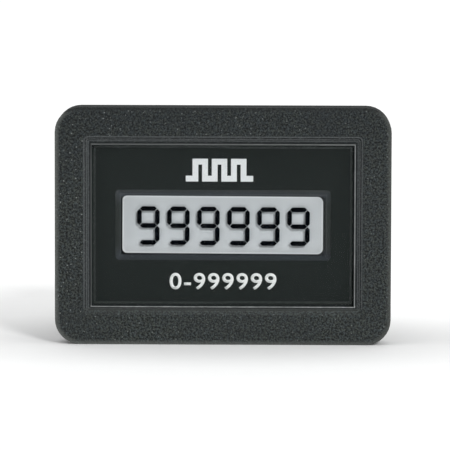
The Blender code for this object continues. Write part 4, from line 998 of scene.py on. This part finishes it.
def make_sky():
    """A pale studio, dimmer in front of the counter than above and behind it."""
    world = bpy.data.worlds.new("studio")
    bpy.context.scene.world = world
    world.use_nodes = True
    tree = world.node_tree
    ground = tree.nodes["Background"]
    place = tree.nodes.new("ShaderNodeTexCoord")
    parts = tree.nodes.new("ShaderNodeSeparateXYZ")
    tree.links.new(place.outputs["Generated"], parts.inputs[0])
    shares = []
    for output, numbers in (("Z", (0.0, 0.9, 0.55, 1.3)), ("Y", (-0.85, -0.45, 0.2, 1.0))):
        share = tree.nodes.new("ShaderNodeMapRange")
        tree.links.new(parts.outputs[output], share.inputs["Value"])
        for index, number in enumerate(numbers, 1):
            share.inputs[index].default_value = number
        shares.append(share.outputs["Result"])
    both = tree.nodes.new("ShaderNodeMath")
    both.operation = "MULTIPLY"
    for share, socket in zip(shares, both.inputs):
        tree.links.new(share, socket)
    ground.inputs["Color"].default_value = WHITE
    tree.links.new(both.outputs[0], ground.inputs["Strength"])


def direction(azimuth, elevation):
    """Towards a place round the object, azimuth 0 being straight in front of it."""
    turn = math.radians(azimuth)
    rise = math.radians(elevation)
    level = math.cos(rise)
    return Vector((math.sin(turn) * level, -math.cos(turn) * level, math.sin(rise)))


def make_sun():
    """A soft key light from the front right."""
    lamp = bpy.data.lights.new("key_light", "SUN")
    lamp.energy = SUN_STRENGTH
    lamp.angle = math.radians(SUN_SPREAD)
    obj = bpy.data.objects.new("key_light", lamp)
    back = direction(SUN_AZIMUTH, SUN_ELEVATION)
    obj.rotation_euler = back.to_track_quat("Z", "Y").to_euler()
    bpy.context.scene.collection.objects.link(obj)


def make_camera():
    """The photo's view: from a little above and to the right, with a long lens."""
    back = direction(CAMERA_AZIMUTH, CAMERA_ELEVATION)
    data = bpy.data.cameras.new("camera")
    data.sensor_width = SENSOR_WIDTH
    data.lens = SENSOR_WIDTH * FOCAL_PIXELS / PHOTO_WIDTH
    data.clip_start = 0.01
    data.clip_end = 50.0
    camera = bpy.data.objects.new("camera", data)
    bpy.context.scene.collection.objects.link(camera)
    camera.location = (Vector(CAMERA_AIM) + back * CAMERA_DISTANCE) * MM
    upright = back.to_track_quat("Z", "Y").to_matrix().to_4x4()
    roll = Matrix.Rotation(math.radians(CAMERA_ROLL), 4, "Z")
    camera.rotation_euler = (upright @ roll).to_euler()
    bpy.context.scene.camera = camera


def dress_back():
    """The finishes of the bracket, its fixings and the terminals."""
    zinc_look().dress("mounting_bracket")
    plated = linear(196, 197, 194)
    fasteners = steel_look("fastener_steel_plated", plated, roughness=0.3, grain_size=0.3)
    fasteners.dress("lock_washer_1", "lock_washer_2", "clamp_nut_1", "clamp_nut_2")
    # The thread's roots get a darker finish: painted shade
    shaded = linear(92, 92, 88)
    roots = steel_look("thread_root_shaded", shaded, roughness=0.45, grain_size=0.3)
    make_thread("stud_thread_1", "stud_1", fasteners, roots)
    make_thread("stud_thread_2", "stud_2", fasteners, roots)
    tin = linear(214, 211, 202)
    tinned = steel_look("tinned_brass_soft", tin, roughness=0.32, grain_size=0.25)
    tinned.dress("terminal_1", "terminal_2", "terminal_3", "terminal_4")
    dark, pale = linear(168, 170, 168), linear(196, 198, 196)
    paint = plain_look("number_paint_pale", dark, pale, size=0.2, roughness=0.5)
    make_terminal_numbers(paint)


def main():
    """Builds the studio and all looks."""
    bpy.context.scene.view_settings.view_transform = "Standard"
    make_camera()
    make_sky()
    make_floor()
    make_sun()

    bezel_look().dress("bezel_housing")
    cover_look().dress("rear_cover")
    rubber_look().dress("gasket")
    make_lens()
    make_dial()
    NODES["lcd_frame"].visible_shadow = False
    make_display()
    make_print()
    dress_inside()
    dress_back()


main()
